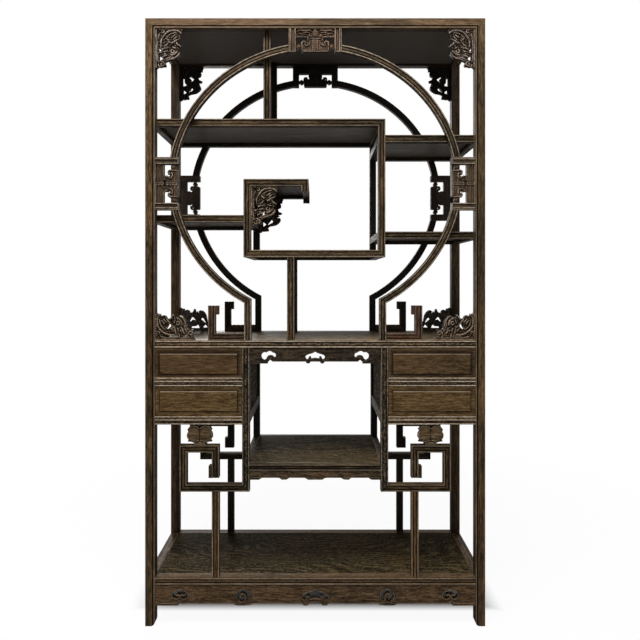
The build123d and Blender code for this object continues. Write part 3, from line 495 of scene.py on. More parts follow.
# show is the axis and direction that a bar's moulded face looks to; bead is the side that a single
# bead lies on, -1 for the low edge and 1 for the high one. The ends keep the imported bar's mitres.
def addBar(shell, points, section, show, key, bead=1, footRadius=0.0):
    depthAxis, direction = show
    low, high = points.min(0), points.max(0)
    along, across = axesOf(high - low, depthAxis)
    width, thickness = high[across] - low[across], high[depthAxis] - low[depthAxis]
    profile = section(width, thickness)
    share = profile[:, 0] / width
    if bead < 0:
        share = 1 - share
    near = 1e-5
    lowEdge = points[points[:, across] < low[across] + near][:, along]
    highEdge = points[points[:, across] > high[across] - near][:, along]
    starts = (low[along], low[along]) if footRadius else (lowEdge.min(), highEdge.min())
    stations = [starts[0] + (starts[1] - starts[0]) * share,
                lowEdge.max() + (highEdge.max() - lowEdge.max()) * share]
    widths = [share * width, share * width]
    if footRadius:
        footEnd = starts[0] + footRadius
        steps = [footEnd - footRadius * math.cos(t) for t in np.linspace(0, math.pi / 2, sizes["footSteps"])]
        stations = [np.full(len(share), z) for z in steps] + stations[1:]
        limits = [width - footRadius + (footRadius ** 2 - (footEnd - z) ** 2) ** 0.5 for z in steps] + [width]
        held = share if bead > 0 else 1 - share
        widths = [np.minimum(held * width, limit) for limit in limits]
        widths = widths if bead > 0 else [width - w for w in widths]
    rings = np.zeros((len(stations), len(profile), 3))
    places = np.zeros_like(rings)
    face = low[depthAxis] if direction < 0 else high[depthAxis]
    for ring, place, run, spread in zip(rings, places, stations, widths):
        ring[:, along] = run
        ring[:, across] = low[across] + spread
        ring[:, depthAxis] = face - direction * profile[:, 1]
        place[:] = np.column_stack([run, spread, profile[:, 1]]) + grainOffset(key)
    # painted shade on the side that looks into the cabinet; near a post's top it falls below zero, which paints
    # the grey underside light
    dark = innerShare(profile, thickness) * (depthAxis == 1)
    if across == 2:
        dark = dark * (1 - share)
    elif section is quirkedBar:
        heights = 1 - inner["postTop"] * np.linspace(0, 1, len(rings)) ** inner["postPower"]
        dark = dark * profile[:, 0] / width * heights[:, None]
    addRings(shell, rings, places, profile[:, 2], dark)


# A thin board with eased edges; its underside takes the flat grey of painted light.
def addBoard(shell, points, key):
    low, high = points.min(0), points.max(0)
    size, easing = high - low, sizes["boardEasing"]
    corners = [(0, easing), (easing, 0), (size[1] - easing, 0), (size[1], easing),
               (size[1], size[2] - easing), (size[1] - easing, size[2]), (easing, size[2]),
               (0, size[2] - easing)]
    rings = np.array([[(x, low[1] + v, low[2] + w) for v, w in corners] for x in (low[0], high[0])])
    # the lower corners carry -1, which paints the underside's flat grey light
    addRings(shell, rings, rings + grainOffset(key), crestAt["side"],
             [-1.0 if w < size[2] / 2 else 0.0 for v, w in corners])


def outward(points, axis):
    return -1 if (points.min(0) + points.max(0))[axis] < 0 else 1


# section, where the moulded face looks (out of the front and the rear, out of the side, or out of and
# into the drawer unit), finish
sticks = {
    "top_rails_long": (quirkedBar, "out", "topWood"),
    "top_rails_side": (quirkedBar, "side", "topWood"),
    "deck_rails_long": (doubleBead, "out", "deckWood"),
    "deck_rails_side": (doubleBead, "side", "frameWood"),
    "base_rails_long": (doubleBead, "out", "railWood"),
    "base_rails_side": (doubleBead, "side", "frameWood"),
    "kneehole_shelf_rails_long": (doubleBead, "out", "dimWood"),
    "kneehole_shelf_rails_side": (doubleBead, "side", "dimWood"),
    "drawer_rails_long": (tripleBead, "out", "deckWood"),
    "drawer_rails_side": (doubleBead, "unit", "dimWood"),
    "kneehole_posts": (doubleBead, "out", "speckledWood"),
    "lower_frets": (doubleBead, "out", "dimWood"),
    "fret_legs": (doubleBead, "out", "redWood"),
    "arch_foot_frets": (doubleBead, "out", "footWood"),
    "box_right_posts": (doubleBead, "out", "frameWood"),
    "box_left_posts": (doubleBead, "out", "dimWood"),
    "box_bottom_shelf": (doubleBead, "out", "railWood"),
    "upper_left_shelf": (doubleBead, "out", "dimWood"),
    "short_shelf": (doubleBead, "out", "shadedWood"),
    "lower_left_shelf": (doubleBead, "out", "dimWood"),
    "upper_right_shelf": (doubleBead, "out", "dimWood"),
    "lower_right_shelf": (doubleBead, "out", "dimWood"),
    "shelf_side_rails": (doubleBead, "side", "dimWood"),
    "divider_posts": (doubleBead, "out", "dimWood"),
    "centre_posts": (doubleBead, "out", "frameWood"),
}
sizes = {"stickLimit": 0.030, "lipLimit": 0.012, "sideReach": 0.45, "footRadius": 0.013, "footSteps": 6,
         "boardEasing": 0.0008}


def addStick(shell, points, node, key):
    section, looks, _ = sticks[node]
    size = points.max(0) - points.min(0)
    outer = np.abs(points[:, 0]).max() > sizes["sideReach"]
    side = outward(points, 0)
    if min(size[0], size[2]) <= sizes["lipLimit"] and size[1] < sizes["stickLimit"]:
        addBar(shell, points, plainBar, (1, outward(points, 1)), key)
    elif size[2] <= sizes["lipLimit"]:
        addBoard(shell, points, key)
    elif looks == "out":
        addBar(shell, points, section, (1, outward(points, 1)), key, -1 if section is quirkedBar else 1)
    elif looks == "unit":
        addBar(shell, points, section, (0, side if outer else -side), key)
    elif outer:
        addBar(shell, points, section, (0, side), key, -1)
    else:
        addBar(shell, points, section if node.startswith("kneehole") else plainBar, (0, -side), key)


def buildSticks():
    for node, (_, _, finish) in sticks.items():
        shell = newShell()
        for number, points in enumerate(solidsOf(node)):
            addStick(shell, points, node, f"{node}{number}")
        makePiece(node, shell, finish)


def buildPosts():
    for side, sideName in ((-1, "left"), (1, "right")):
        for depth, depthName in ((-1, "front"), (1, "rear")):
            node = f"post_{depthName}_{sideName}"
            shell = newShell()
            addBar(shell, solidsOf(node)[0], quirkedBar, (1, depth), node, -side, sizes["footRadius"])
            makePiece(node, shell, "postWood")


buildSticks()
buildPosts()
print("sticks and posts ready")

arch = {"ring": 0.022, "ringGap": 0.039, "lowerRise": 0.0295, "legInner": 0.200, "legRise": 0.117, "steps": 64}


# One arc of an ellipse about the cabinet's middle. size holds its half width, half height and centre;
# turns gives the start and end angles for each place of the section.
def arcBand(shell, size, turns, mirror, direction, face, thickness, key):
    wide, high, centre = size
    profile = doubleBead(arch["ring"], thickness)
    a, b = wide - profile[:, 0], high - profile[:, 0]
    start, end = turns(a, b, profile[:, 0] / arch["ring"])
    rings = np.zeros((arch["steps"] + 1, len(profile), 3))
    places = np.zeros_like(rings)
    for ring, place, run in zip(rings, places, np.linspace(0, 1, len(rings))):
        turn = start + (end - start) * run
        ring[:, 0] = mirror * a * np.cos(turn)
        ring[:, 2] = centre + b * np.sin(turn)
        ring[:, 1] = face - direction * profile[:, 1]
        place[:] = np.column_stack([turn * wide, profile[:, 0], profile[:, 1]]) + grainOffset(key)
    addRings(shell, rings, places, profile[:, 2], innerShare(profile, thickness))


def buildArch():
    topLow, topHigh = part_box("top_cartouches")
    half = topHigh.x
    sideLow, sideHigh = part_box("side_cartouches")
    centre = (sideLow.z + sideHigh.z) / 2
    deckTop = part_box("deck_rails_long")[1].z
    ring, rise = arch["ring"], arch["lowerRise"]
    wide = sideHigh.x - arch["ringGap"]
    high = (topLow.z - centre) / (1 - (half / (wide - ring)) ** 2) ** 0.5 + ring
    legInner, legOuter = arch["legInner"], arch["legInner"] + ring
    drop = centre + rise - deckTop - arch["legRise"]
    lowerHigh = drop / (1 - (legOuter / wide) ** 2) ** 0.5

    # the upper arc runs from the side cartouche to the top one, the lower arc down to its leg
    def upperTurns(a, b, _):
        return np.arcsin(half / b), np.arccos(half / a)

    def lowerTurns(a, b, share):
        return -np.arcsin((half + rise) / b), -np.arccos((legOuter + (legInner - legOuter) * share) / a)

    for direction, place in ((-1, "front"), (1, "rear")):
        low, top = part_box("arch_upper_" + place)
        face, thickness = low.y if direction < 0 else top.y, top.y - low.y
        upper, lower = newShell(), newShell()
        for mirror in (-1, 1):
            arcBand(upper, (wide, high, centre), upperTurns, mirror, direction, face, thickness,
                    f"upper{place}{mirror}")
            arcBand(lower, (wide, lowerHigh, centre + rise), lowerTurns, mirror, direction, face, thickness,
                    f"lower{place}{mirror}")
        for number, points in enumerate(solidsOf("arch_lower_" + place)):
            if np.ptp(points[:, 0]) < ring * 1.1:
                addBar(lower, points, doubleBead, (1, direction), f"leg{place}{number}")
        makePiece("arch_upper_" + place, upper, "archWood")
        makePiece("arch_lower_" + place, lower, "archWood")


drawer = {
    # inset from the edge, depth behind the face, crest at the lower corners and at the upper ones; high crests
    #     # paint a highlight along the upper edges and low ones paint shade along the lower edges, as light
    #     from above
    "steps": [(0.0, 0.0178, 0.5, 0.5), (0.0, 0.0024, 0.5, 0.5), (0.0008, 0.0016, 0.5, 0.60),
              (0.0060, 0.0014, 0.42, 0.36), (0.0130, 0.0018, 0.26, 0.28), (0.0136, 0.0022, 0.0, 0.10),
              (0.0144, 0.0022, 0.0, 0.10), (0.0147, 0.0004, 0.06, 0.95), (0.0153, 0.0, 0.52, 1.0),
              (0.0168, 0.0, 0.5, 0.95), (0.0180, 0.0, 0.5, 0.5)],
    # an upper front's field sits lower, behind a border painted darker as shade that lies between two insets
    "upperDrop": 0.0035, "border": 0.0130, "upperShade": 0.13, "shaded": (0.005, 0.0133),
    "lineEnd": 0.004, "sideBlend": 0.2, "sharpAngle": 12,
}


# A raised field with a sunk border round it.
def buildDrawerFronts():
    for node in [n for n in nodes if n.startswith("drawer_") and n.endswith("_front")]:
        low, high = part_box(node)
        upper = "_upper_" in node
        offset = grainOffset(node)
        rings, places, crests = [], [], []
        for inset, depth, lowCrest, highCrest in drawer["steps"]:
            shift = drawer["upperDrop"] * upper * min(inset / drawer["border"], 1.0)
            left, right = low.x + inset, high.x - inset
            bottom, top = low.z + inset - shift, high.z - inset - shift
            below = top - drawer["lineEnd"]
            ring = [(x, low.y + depth, z) for x, z in ((left, bottom), (right, bottom), (right, below),
                                                       (right, top), (left, top), (left, below))]
            rings.append(ring)
            places.append([(x + offset[0], z + offset[1], y + offset[2]) for x, y, z in ring])
            # painted shade on the upper fronts' border
            if upper and drawer["shaded"][0] < inset < drawer["shaded"][1]:
                lowCrest, highCrest = lowCrest - drawer["upperShade"], highCrest - drawer["upperShade"]
            side = lowCrest * (1 - drawer["sideBlend"]) + highCrest * drawer["sideBlend"]
            crests.append([lowCrest, lowCrest, side, highCrest, highCrest, side])
        shell = newShell()
        addRings(shell, np.array(rings), np.array(places), np.array(crests))
        makePiece(node, shell, "upperDrawerWood" if upper else "lowerDrawerWood", drawer["sharpAngle"])


# A carved board is drawn in millimetres as two fields over a fine grid: how far a place lies
# outside the wood, and the height of its face as a share of the board's thickness. A mirrored shape is
# drawn once, from some way beyond the middle.
carving = {
    "lineSteps": 7, "farAway": 1e3, "finest": 0.3,
    # how much lower a ridge's sides lie, the width of the cut beside it, and the lowest height of all
    "sag": 0.24, "cut": 1.1, "deepest": 0.3,
    # heights over "level" and places that stand out from what lies round them count as rubbed and take the
    # painted highlight, and lower ground takes dirt and painted shade
    "level": 0.82, "blur": 2, "rearCrest": 0.4, "sharpAngle": 50,
}


def smoothLine(rows):
    rows = np.array(rows, float)
    rows = np.vstack([2 * rows[0] - rows[1], rows, 2 * rows[-1] - rows[-2]])
    line = []
    for a, b, c, d in zip(rows, rows[1:], rows[2:], rows[3:]):
        for t in np.linspace(0, 1, carving["lineSteps"], endpoint=False):
            line.append(0.5 * (2 * b + (c - a) * t + (2 * a - 5 * b + 4 * c - d) * t ** 2
                               + (3 * b - a - 3 * c + d) * t ** 3))
    line.append(rows[-2])
    return np.array(line)


def segmentDistance(us, vs, p, q):
    run = np.array(q[:2], float) - np.array(p[:2], float)
    share = np.clip(((us - p[0]) * run[0] + (vs - p[1]) * run[1]) / max(run @ run, 1e-9), 0, 1)
    return np.hypot(us - p[0] - run[0] * share, vs - p[1] - run[1] * share), share


def dome(share):
    return np.sqrt(np.clip(1 - share ** 2, 0, 1))


# rows are (u, v, radius, height); the face is a rounded ridge
def stroke(us, vs, rows):
    line = smoothLine(rows)
    away, top = np.full(us.shape, carving["farAway"]), np.zeros(us.shape)
    for p, q in zip(line, line[1:]):
        distance, share = segmentDistance(us, vs, p, q)
        radius = np.maximum(p[2] + (q[2] - p[2]) * share, carving["finest"])
        height = p[3] + (q[3] - p[3]) * share
        away = np.minimum(away, distance - radius)
        ridge = height - carving["sag"] * (1 - dome(distance / radius))
        top = np.maximum(top, np.where(distance < radius, ridge, 0))
    return away, top


# Lays ridges on a face, each with a cut beside it that goes down to the ground.
def laid(top, us, vs, strokes, ground, where=True):
    for rows in strokes:
        outside, ridge = stroke(us, vs, rows)
        top = np.where(where & (outside < carving["cut"]) & (ridge <= 0), np.minimum(top, ground), top)
        top = np.maximum(top, np.where(where, ridge, 0))
    return top


def outlined(us, vs, corners):
    away, inside = np.full(us.shape, carving["farAway"]), np.zeros(us.shape, bool)
    for p, q in zip(corners, corners[1:] + corners[:1]):
        away = np.minimum(away, segmentDistance(us, vs, p, q)[0])
        slope = (q[0] - p[0]) / (q[1] - p[1]) if q[1] != p[1] else 0.0
        inside ^= ((p[1] > vs) != (q[1] > vs)) & (us < p[0] + slope * (vs - p[1]))
    return np.where(inside, -away, away)


def roundField(us, vs, u, v, radius):
    return np.hypot(us - u, vs - v) - radius


def oblong(us, vs, left, right, low, high):
    return outlined(us, vs, [(left, low), (right, low), (right, high), (left, high)])


# Ends the wood at the outer, the low and the high side of its board.
def kept(away, us, vs, right, low, high):
    return np.maximum.reduce([away, us - right, low - vs, vs - high])


def blurred(field, reach):
    out = field
    for axis in (0, 1):
        out = sum(np.roll(out, step, axis) for step in range(-reach, reach + 1)) / (2 * reach + 1)
    return out


# Meshes the face of a carved board, cutting the grid along the wood's outline.
def carve(low, high, form, field):
    cell = form["cell"]
    us, vs = np.meshgrid(np.arange(low[0] - cell, high[0] + 2 * cell, cell),
                         np.arange(low[1] - cell, high[1] + 2 * cell, cell), indexing="ij")
    away, top = field(form, us, vs)
    away = np.where(away == 0, 1e-6, away)
    filled = np.where(away < 0, top, top.min())
    # sunk ground below "level" is painted darker as shade, and raised places take the painted highlight
    raised = (filled - blurred(filled, carving["blur"])) * form["gain"]
    relief = np.clip(crestAt["face"] + raised + form["depthShade"] * (filled - carving["level"]), 0, 1)
    outside, rows = away.tolist(), np.stack([us, vs, top, relief], axis=-1).tolist()
    index, points, faces = {}, [], []

    def corner(i, j):
        if (i, j) not in index:
            index[i, j] = len(points)
            points.append(rows[i][j])
        return index[i, j]

    def crossing(a, b):
        key = (a, b) if a < b else (b, a)
        if key not in index:
            first, second = outside[a[0]][a[1]], outside[b[0]][b[1]]
            share = first / (first - second)
            index[key] = len(points)
            points.append([x + (y - x) * share for x, y in zip(rows[a[0]][a[1]], rows[b[0]][b[1]])])
        return index[key]

    for i in range(len(rows) - 1):
        for j in range(len(rows[0]) - 1):
            ring = [(i, j), (i + 1, j), (i + 1, j + 1), (i, j + 1)]
            solid = [outside[a][b] < 0 for a, b in ring]
            face = []
            for n, here in enumerate(ring):
                if solid[n]:
                    face.append(corner(*here))
                if solid[n] != solid[(n + 1) % 4]:
                    face.append(crossing(here, ring[(n + 1) % 4]))
            if face:
                faces.append(face)
    directed = {(a, b) for face in faces for a, b in zip(face, face[1:] + face[:1])}
    rim = [(a, b) for a, b in directed if (b, a) not in directed]
    return {"points": points, "faces": faces, "rim": rim, "field": field, "form": form}


# The flat rear of a board, as triangles between the points of the face's rim.
def closeRear(relief):
    rear = sorted({a for edge in relief["rim"] for a in edge})
    order = {a: i for i, a in enumerate(rear)}
    flat = [Vector(relief["points"][a][:2]) for a in rear]
    edges = [(order[a], order[b]) for a, b in relief["rim"]]
    corners, _, triangles, origins, _, _ = delaunay_2d_cdt(flat, edges, [], 0, 1e-7)
    middles = np.array([np.mean([corners[i] for i in t], axis=0) for t in triangles])
    away, _ = relief["field"](relief["form"], middles[:, 0], middles[:, 1])
    names = [rear[o[0]] if o else None for o in origins]
    named = [[names[i] for i in t] for t, outside in zip(triangles, away) if outside < 0]
    relief["rear"] = [t for t in named if None not in t]


# ways are the directions of u, of v and into the board. Beyond turnBeyond from the middle the grain runs
# along v. A board carved on both sides has half the depth of relief on each; rearShare is the painted shade
# on the side that looks into the cabinet, and below zero the painted grey light there.
def addRelief(shell, relief, origin, ways, thickness, key, turnBeyond=1.0, bothSides=False, rearShare=1.0):
    base = len(shell["points"])
    points = np.array(relief["points"])
    depth = thickness * (1 - points[:, 2]) * (0.5 if bothSides else 1.0)
    front = np.column_stack([points[:, :2] / 1000, depth])
    if bothSides:
        chosen, rearFaces = list(range(len(points))), relief["faces"]
        rearCrests = points[:, 3]
    else:
        if "rear" not in relief:
            closeRear(relief)
        chosen, rearFaces = sorted({a for edge in relief["rim"] for a in edge}), relief["rear"]
        rearCrests = np.full(len(chosen), carving["rearCrest"])
    rear = front[chosen]
    rear[:, 2] = thickness - (rear[:, 2] if bothSides else 0.0)
    rearIndex = {a: base + len(points) + i for i, a in enumerate(chosen)}
    local = np.vstack([front, rear])
    shell["points"].extend(map(tuple, np.array(origin) + local @ np.array(ways, float)))
    turned = np.abs(local[:, :1]) > turnBeyond
    places = np.where(turned, local[:, [1, 0, 2]], local) + grainOffset(key)
    shell["places"].extend(map(tuple, places))
    shell["crests"].extend([*points[:, 3], *rearCrests])
    shell["insides"].extend([0.0] * len(points) + [rearShare] * len(chosen))
    shell["faces"].extend([tuple(base + i for i in face) for face in relief["faces"]])
    shell["faces"].extend([(base + b, base + a, rearIndex[a], rearIndex[b]) for a, b in relief["rim"]])
    shell["faces"].extend([tuple(rearIndex[i] for i in reversed(face)) for face in rearFaces])


# Dresses a node's boards with one relief. place gives the X and Z where a box's relief starts and the ways
# that its u and v run; a board looks out of the front or of the rear. A thick solid is a side apron.
def buildCarved(node, relief, finish, place, depth=None, key="", **settings):
    shell = newShell()
    for number, points in enumerate(solidsOf(node)):
        box = np.array([points.min(0), points.max(0)])
        direction, thickness = outward(box, 1), np.ptp(box[:, 1])
        if thickness > sizes["stickLimit"]:
            addBar(shell, points, plainBar, (0, outward(box, 0)), f"{node}{number}")
            continue
        x, z, ways = place(box)
        addRelief(shell, relief, (x, box[0 if direction < 0 else 1][1], z), ways + [(0, -direction, 0)],
                  depth or thickness, f"{key or node}{number}", **settings)
    makePiece(node, shell, finish, carving["sharpAngle"])


# u runs along the long edge and v along the short one, in millimetres from their corner
bracket = {
    "long": 124, "short": 86, "thickness": 0.016, "cell": 0.9, "depthShade": 0.9, "gain": 5.0,
    # heights: the ground with its ripples, the bottom of the drilled eyes, and the pearls
    "ground": 0.47, "ripple": 0.13, "lowest": 0.36, "pearl": 0.86, "pearlRise": 0.10,
    "outline": [(0, 0), (0, 86), (5, 86), (9, 83), (15, 83), (18, 76), (25, 79), (33, 77), (38, 66), (47, 71),
                (52, 82), (57, 80), (60, 67), (64, 73), (70, 62), (70, 75), (76, 77), (83, 75), (91, 69),
                (97, 59), (100, 45), (101, 37), (107.5, 30), (112, 34), (118.5, 33), (120, 8), (124, 7),
                (124, 0)],
    "windows": [[(41, 11), (72, 11), (67, 24), (59.5, 18), (52, 17), (44.6, 18)],
                [(84, 13), (102, 13), (94, 24)],
                [(95, 32), (93, 30), (77, 43), (80, 47.5), (85, 48.5)],
                [(59, 39.5), (50, 50), (46.5, 51.5), (44, 51), (36, 38), (36, 34.5), (40, 36), (47, 42.5)]],
    # rows of u, v, radius and height
    "strokes": [
        # strips along the two straight edges
        [(1.5, 0, 2.4, 0.80), (1.5, 40, 2.2, 0.84), (1.8, 86, 2.4, 0.84)],
        [(0, 2.2, 2.8, 0.84), (40, 2.4, 2.6, 0.88), (84, 2.4, 2.6, 0.90), (122, 3, 2.6, 0.84)],
        [(20, 8, 1.5, 0.78), (60, 8, 1.4, 0.80), (104, 8, 1.5, 0.78)],
        # outer arc of the scroll
        [(24.4, 84, 1.6, 0.86), (16, 81, 2.0, 0.98), (9.4, 74, 2.6, 1.0), (6.5, 65, 2.8, 1.0),
         (6.5, 53.4, 2.8, 1.0), (8.8, 43, 2.8, 1.0), (14, 35, 2.7, 1.0), (22, 28, 2.6, 1.0),
         (31, 22, 2.5, 1.0), (42, 18, 2.4, 0.98), (58, 17.6, 1.8, 0.88)],
        # curl and blade in the corner
        [(4, 14, 1.4, 0.80), (5, 24, 1.8, 0.88), (10, 28, 2.0, 0.90), (14, 24, 1.8, 0.88),
         (11, 20, 1.4, 0.84)],
        [(16, 14, 1.0, 0.78), (24, 10, 2.6, 0.88), (34, 9, 1.2, 0.80)],
        # veins inside the scroll
        [(19.8, 62.6, 1.4, 0.90), (25, 57, 2.1, 0.98), (29, 51, 1.4, 0.90)],
        [(25.5, 67, 1.4, 0.88), (31, 61, 2.1, 0.96), (36, 57, 1.4, 0.88)],
        [(13, 66, 1.6, 0.76), (15, 54, 2.2, 0.84), (20, 44, 2.0, 0.82), (27, 37, 1.6, 0.76)],
        # the ridge through the middle
        [(33, 74, 1.6, 0.86), (36, 71, 2.0, 0.94), (38, 64, 2.4, 0.98), (43, 58, 2.8, 1.0),
         (46, 51, 2.8, 1.0), (52, 45, 2.8, 1.0), (58, 42, 2.2, 0.96), (62, 36, 1.6, 0.84)],
        [(30, 33, 1.6, 0.86), (35, 39, 2.0, 0.94), (40, 42, 1.9, 0.94), (46, 39.5, 2.0, 0.94),
         (53, 34, 2.0, 0.94), (57, 28, 1.6, 0.86)],
        # the long leaf and its drops
        [(60, 43, 1.6, 0.84), (62, 30, 2.4, 0.90), (65, 19, 2.2, 0.88), (67, 8, 1.4, 0.80)],
        [(70.5, 38, 1.6, 0.94), (72, 33, 2.4, 1.0), (73, 27, 1.6, 0.94)],
        [(79, 31, 2.4, 0.98), (81, 29, 2.4, 0.98)],
        [(73, 22, 1.2, 0.80), (76, 14, 2.0, 0.88), (74, 8, 1.2, 0.80)],
        # lower double sweep
        [(59, 76, 1.6, 0.88), (61, 75, 2.2, 0.98), (69, 71, 2.7, 1.0), (76, 65, 2.9, 1.0),
         (81, 58, 2.8, 1.0), (83, 49, 2.7, 1.0), (84, 39.5, 2.6, 1.0), (85.5, 30, 2.5, 0.98),
         (90, 23, 2.3, 0.96), (97, 16.5, 2.2, 0.94), (106, 9, 1.6, 0.86)],
        [(66, 80, 1.6, 0.88), (70, 79, 2.2, 0.94), (77, 76.5, 2.6, 0.98), (84, 71.5, 2.6, 0.98),
         (90, 64, 2.5, 0.96), (94, 54, 2.4, 0.94), (97, 43, 2.0, 0.90), (101, 34, 1.6, 0.86)],
        [(89, 55, 1.2, 0.80), (91, 44, 1.8, 0.86), (95, 34, 1.8, 0.86), (103, 24, 1.4, 0.80)],
        # ring curls
        [(66, 53, 1.6, 0.92), (69, 49.5, 1.9, 0.97), (74, 50, 1.9, 0.97), (76, 54, 1.8, 0.96),
         (73, 59, 1.8, 0.94), (68, 58.5, 1.6, 0.92)],
        [(62, 64, 1.6, 0.88), (60, 58, 1.8, 0.92), (58, 54, 1.4, 0.86)],
        [(45, 80, 1.6, 0.88), (40, 75, 2.0, 0.96), (41, 69, 2.0, 0.97), (46, 67, 2.0, 0.97),
         (51, 71, 2.0, 0.97), (53, 76, 1.8, 0.94), (58, 78.5, 1.5, 0.88)],
        [(9, 80, 1.2, 0.80), (3.5, 84, 1.6, 0.84)],
        # the foot
        [(101, 15, 1.8, 0.84), (105, 25, 2.4, 0.92), (111, 29, 2.4, 0.94), (116, 25, 2.3, 0.92),
         (115, 18, 2.0, 0.90), (110, 18, 1.8, 0.90), (109, 22, 1.5, 0.88)],
        [(112, 10, 1.4, 0.82), (118, 12, 2.0, 0.86), (119, 20, 1.4, 0.82)],
    ],
    # drilled eyes of the curls: u, v, radius
    "eyes": [(48, 75, 2.0), (71, 54.5, 1.7), (10, 23.6, 1.6), (112.5, 22.5, 1.4), (86, 20, 1.3), (32, 46, 2.0),
             (24, 49, 1.6), (38, 50, 1.6), (64, 47, 1.6), (30, 72, 1.6), (16, 74, 1.5)],
    # beads along the straight strips
    "pearls": [(1.8, 14 + 7.5 * step, 2.1) for step in range(9)],
}


def bracketField(form, us, vs):
    away = outlined(us, vs, form["outline"])
    for window in form["windows"]:
        away = np.maximum(away, -outlined(us, vs, window))
    ripples = np.sin((us * 0.8 + vs * 1.3) * 0.42) * np.sin((us * 1.2 - vs * 0.7) * 0.33)
    top = form["ground"] + form["ripple"] * ripples
    top = laid(top, us, vs, form["strokes"], form["ground"])
    for u, v, radius in form["eyes"]:
        top = np.where(roundField(us, vs, u, v, radius) < 0, form["lowest"], top)
    for u, v, radius in form["pearls"]:
        pearl = form["pearl"] + form["pearlRise"] * dome(np.hypot(us - u, vs - v) / radius)
        top = np.maximum(top, np.where(roundField(us, vs, u, v, radius) < 0, pearl, form["lowest"]))
    away = np.maximum(away, -us)
    return kept(away, us, vs, form["long"], 0, form["short"]), np.clip(top, carving["deepest"], 1.0)


# whether the long edge runs down a post, the painted shade on the inner side (below zero, painted grey light),
# finish
brackets = {
    "corner_brackets": (True, 1.0, "greyCarvedWood"),
    "deck_carvings": (False, -0.5, "carvedWood"),
    "shelf_brackets": (True, 0.6, "carvedWood"),
}


def buildBrackets():
    relief = carve((0, 0), (bracket["long"], bracket["short"]), bracket, bracketField)
    for node, (downPost, rearShare, finish) in brackets.items():
        def place(box):
            inX = 1 if node == "shelf_brackets" else -outward(box, 0)
            ways = [(0, 0, -1), (inX, 0, 0)] if downPost else [(inX, 0, 0), (0, 0, 1)]
            return box[0 if inX > 0 else 1][0], box[1 if downPost else 0][2], ways

        buildCarved(node, relief, finish, place, bracket["thickness"], bothSides=True, rearShare=rearShare)


# u runs each way from the middle and v runs away from the rail or the post
cartouche = {
    "half": 83.0, "deep": 74.0, "plate": 26.5, "bar": 23.0, "shoulder": 50.0, "tablet": 41.0,
    "beyond": -30, "cell": 1.0, "depthShade": 0.9, "gain": 6.0,
    # u, v and radius
    "ball": (51.0, 57.0, 7.6), "knob": (27, 46, 7.5),
    # heights
    "face": 0.78, "ground": 0.64, "strip": 0.90, "flat": 0.80, "edge": 0.98, "groove": 0.66,
    "beadRise": 0.10, "ballRise": 0.24, "tabletCut": 0.62, "tabletFace": 0.82, "lines": 0.84,
    "betweenLines": 0.76, "plainKnot": 0.58, "waist": 0.56,
    # the end bars' beads and quirks, as middle and half width from the end
    "beads": ((1.9, 1.9), (6.4, 1.8), (20.4, 1.9)), "quirks": ((9.2, 0.9), (17.6, 0.9), (4.1, 0.5)),
    # widths of the strips and grooves along the plate, the bars and the tablet
    "topStrip": 2.6, "plateStrip": (2.2, 0.5), "endStrip": 3.4, "tabletEdge": 2.6, "tabletGroove": 4.4,
    "curlCut": 1.2, "plainLines": (9.4, 21.5), "halfLine": 0.9,
    # the woven band down the middle: half width, start, and its weave
    "band": (9.6, 35.5), "plainBand": (5.76, 2.6), "weave": (0.04, 0.9, 0.7),
    "bud": [(0, 8, 5.8, 1.0), (0, 14, 8.4, 1.0), (0, 20, 7.4, 1.0)], "budCut": 1.6, "petal": 6.4,
    "petalDepth": 0.06, "waistPlace": (34.6, 20), "knotPlace": (31.0, 4.5, 12),
    "stem": [(-20, 20), (25, 20), (25, 34), (26, 38), (24, 42), (20.5, 45), (20.5, 49), (27, 52), (-20, 52)],
    "notch": [(28, 33, 1.2, 1), (27, 38, 1.8, 1), (25.5, 43, 3.0, 1)],
    "curl": [(40.5, 70, 2.0, 0.92), (40.8, 58, 2.2, 0.96), (41.4, 50, 2.8, 1.0), (40, 44, 3.3, 1.0),
             (36, 41.6, 3.4, 1.0), (31.8, 43, 3.1, 1.0), (30, 46.5, 2.2, 0.96)],
    "rings": [
        # round the notch, and small curls above the tablet
        [(34.5, 48, 1.4, 0.96), (32, 52.5, 2.1, 1.0), (26, 54.5, 2.3, 1.0), (20, 52.5, 2.1, 1.0),
         (17, 48, 1.8, 1.0), (16.8, 42, 1.4, 0.94)],
        [(20, 39, 1.2, 0.90), (22, 35.5, 1.6, 0.97), (19, 33, 1.2, 0.90)],
    ],
    "waves": [
        # clouds on the plate
        [(11, 10, 1.0, 0.78), (20, 5.5, 2.0, 0.90), (33, 8, 2.4, 0.94), (46, 5.5, 2.1, 0.90),
         (60, 9.5, 1.4, 0.82)],
        [(13, 16, 1.0, 0.76), (22, 12.5, 1.9, 0.86), (33, 13.5, 2.2, 0.88), (44, 17, 1.8, 0.84),
         (56, 14, 1.2, 0.78)],
        [(24, 20, 1.0, 0.74), (33, 18.5, 1.7, 0.80), (43, 22.5, 1.5, 0.78), (52, 20.5, 1.0, 0.74)],
        # feet of the bud
        [(11, 26, 1.4, 0.90), (15.5, 25.5, 1.9, 0.97), (18.5, 21.5, 1.8, 0.97), (17, 17.5, 1.4, 0.92)],
        # bar below the bud
        [(-2, 31.6, 1.9, 0.92), (12, 31.6, 1.9, 0.92), (18.5, 31.0, 1.5, 0.88)],
    ],
}


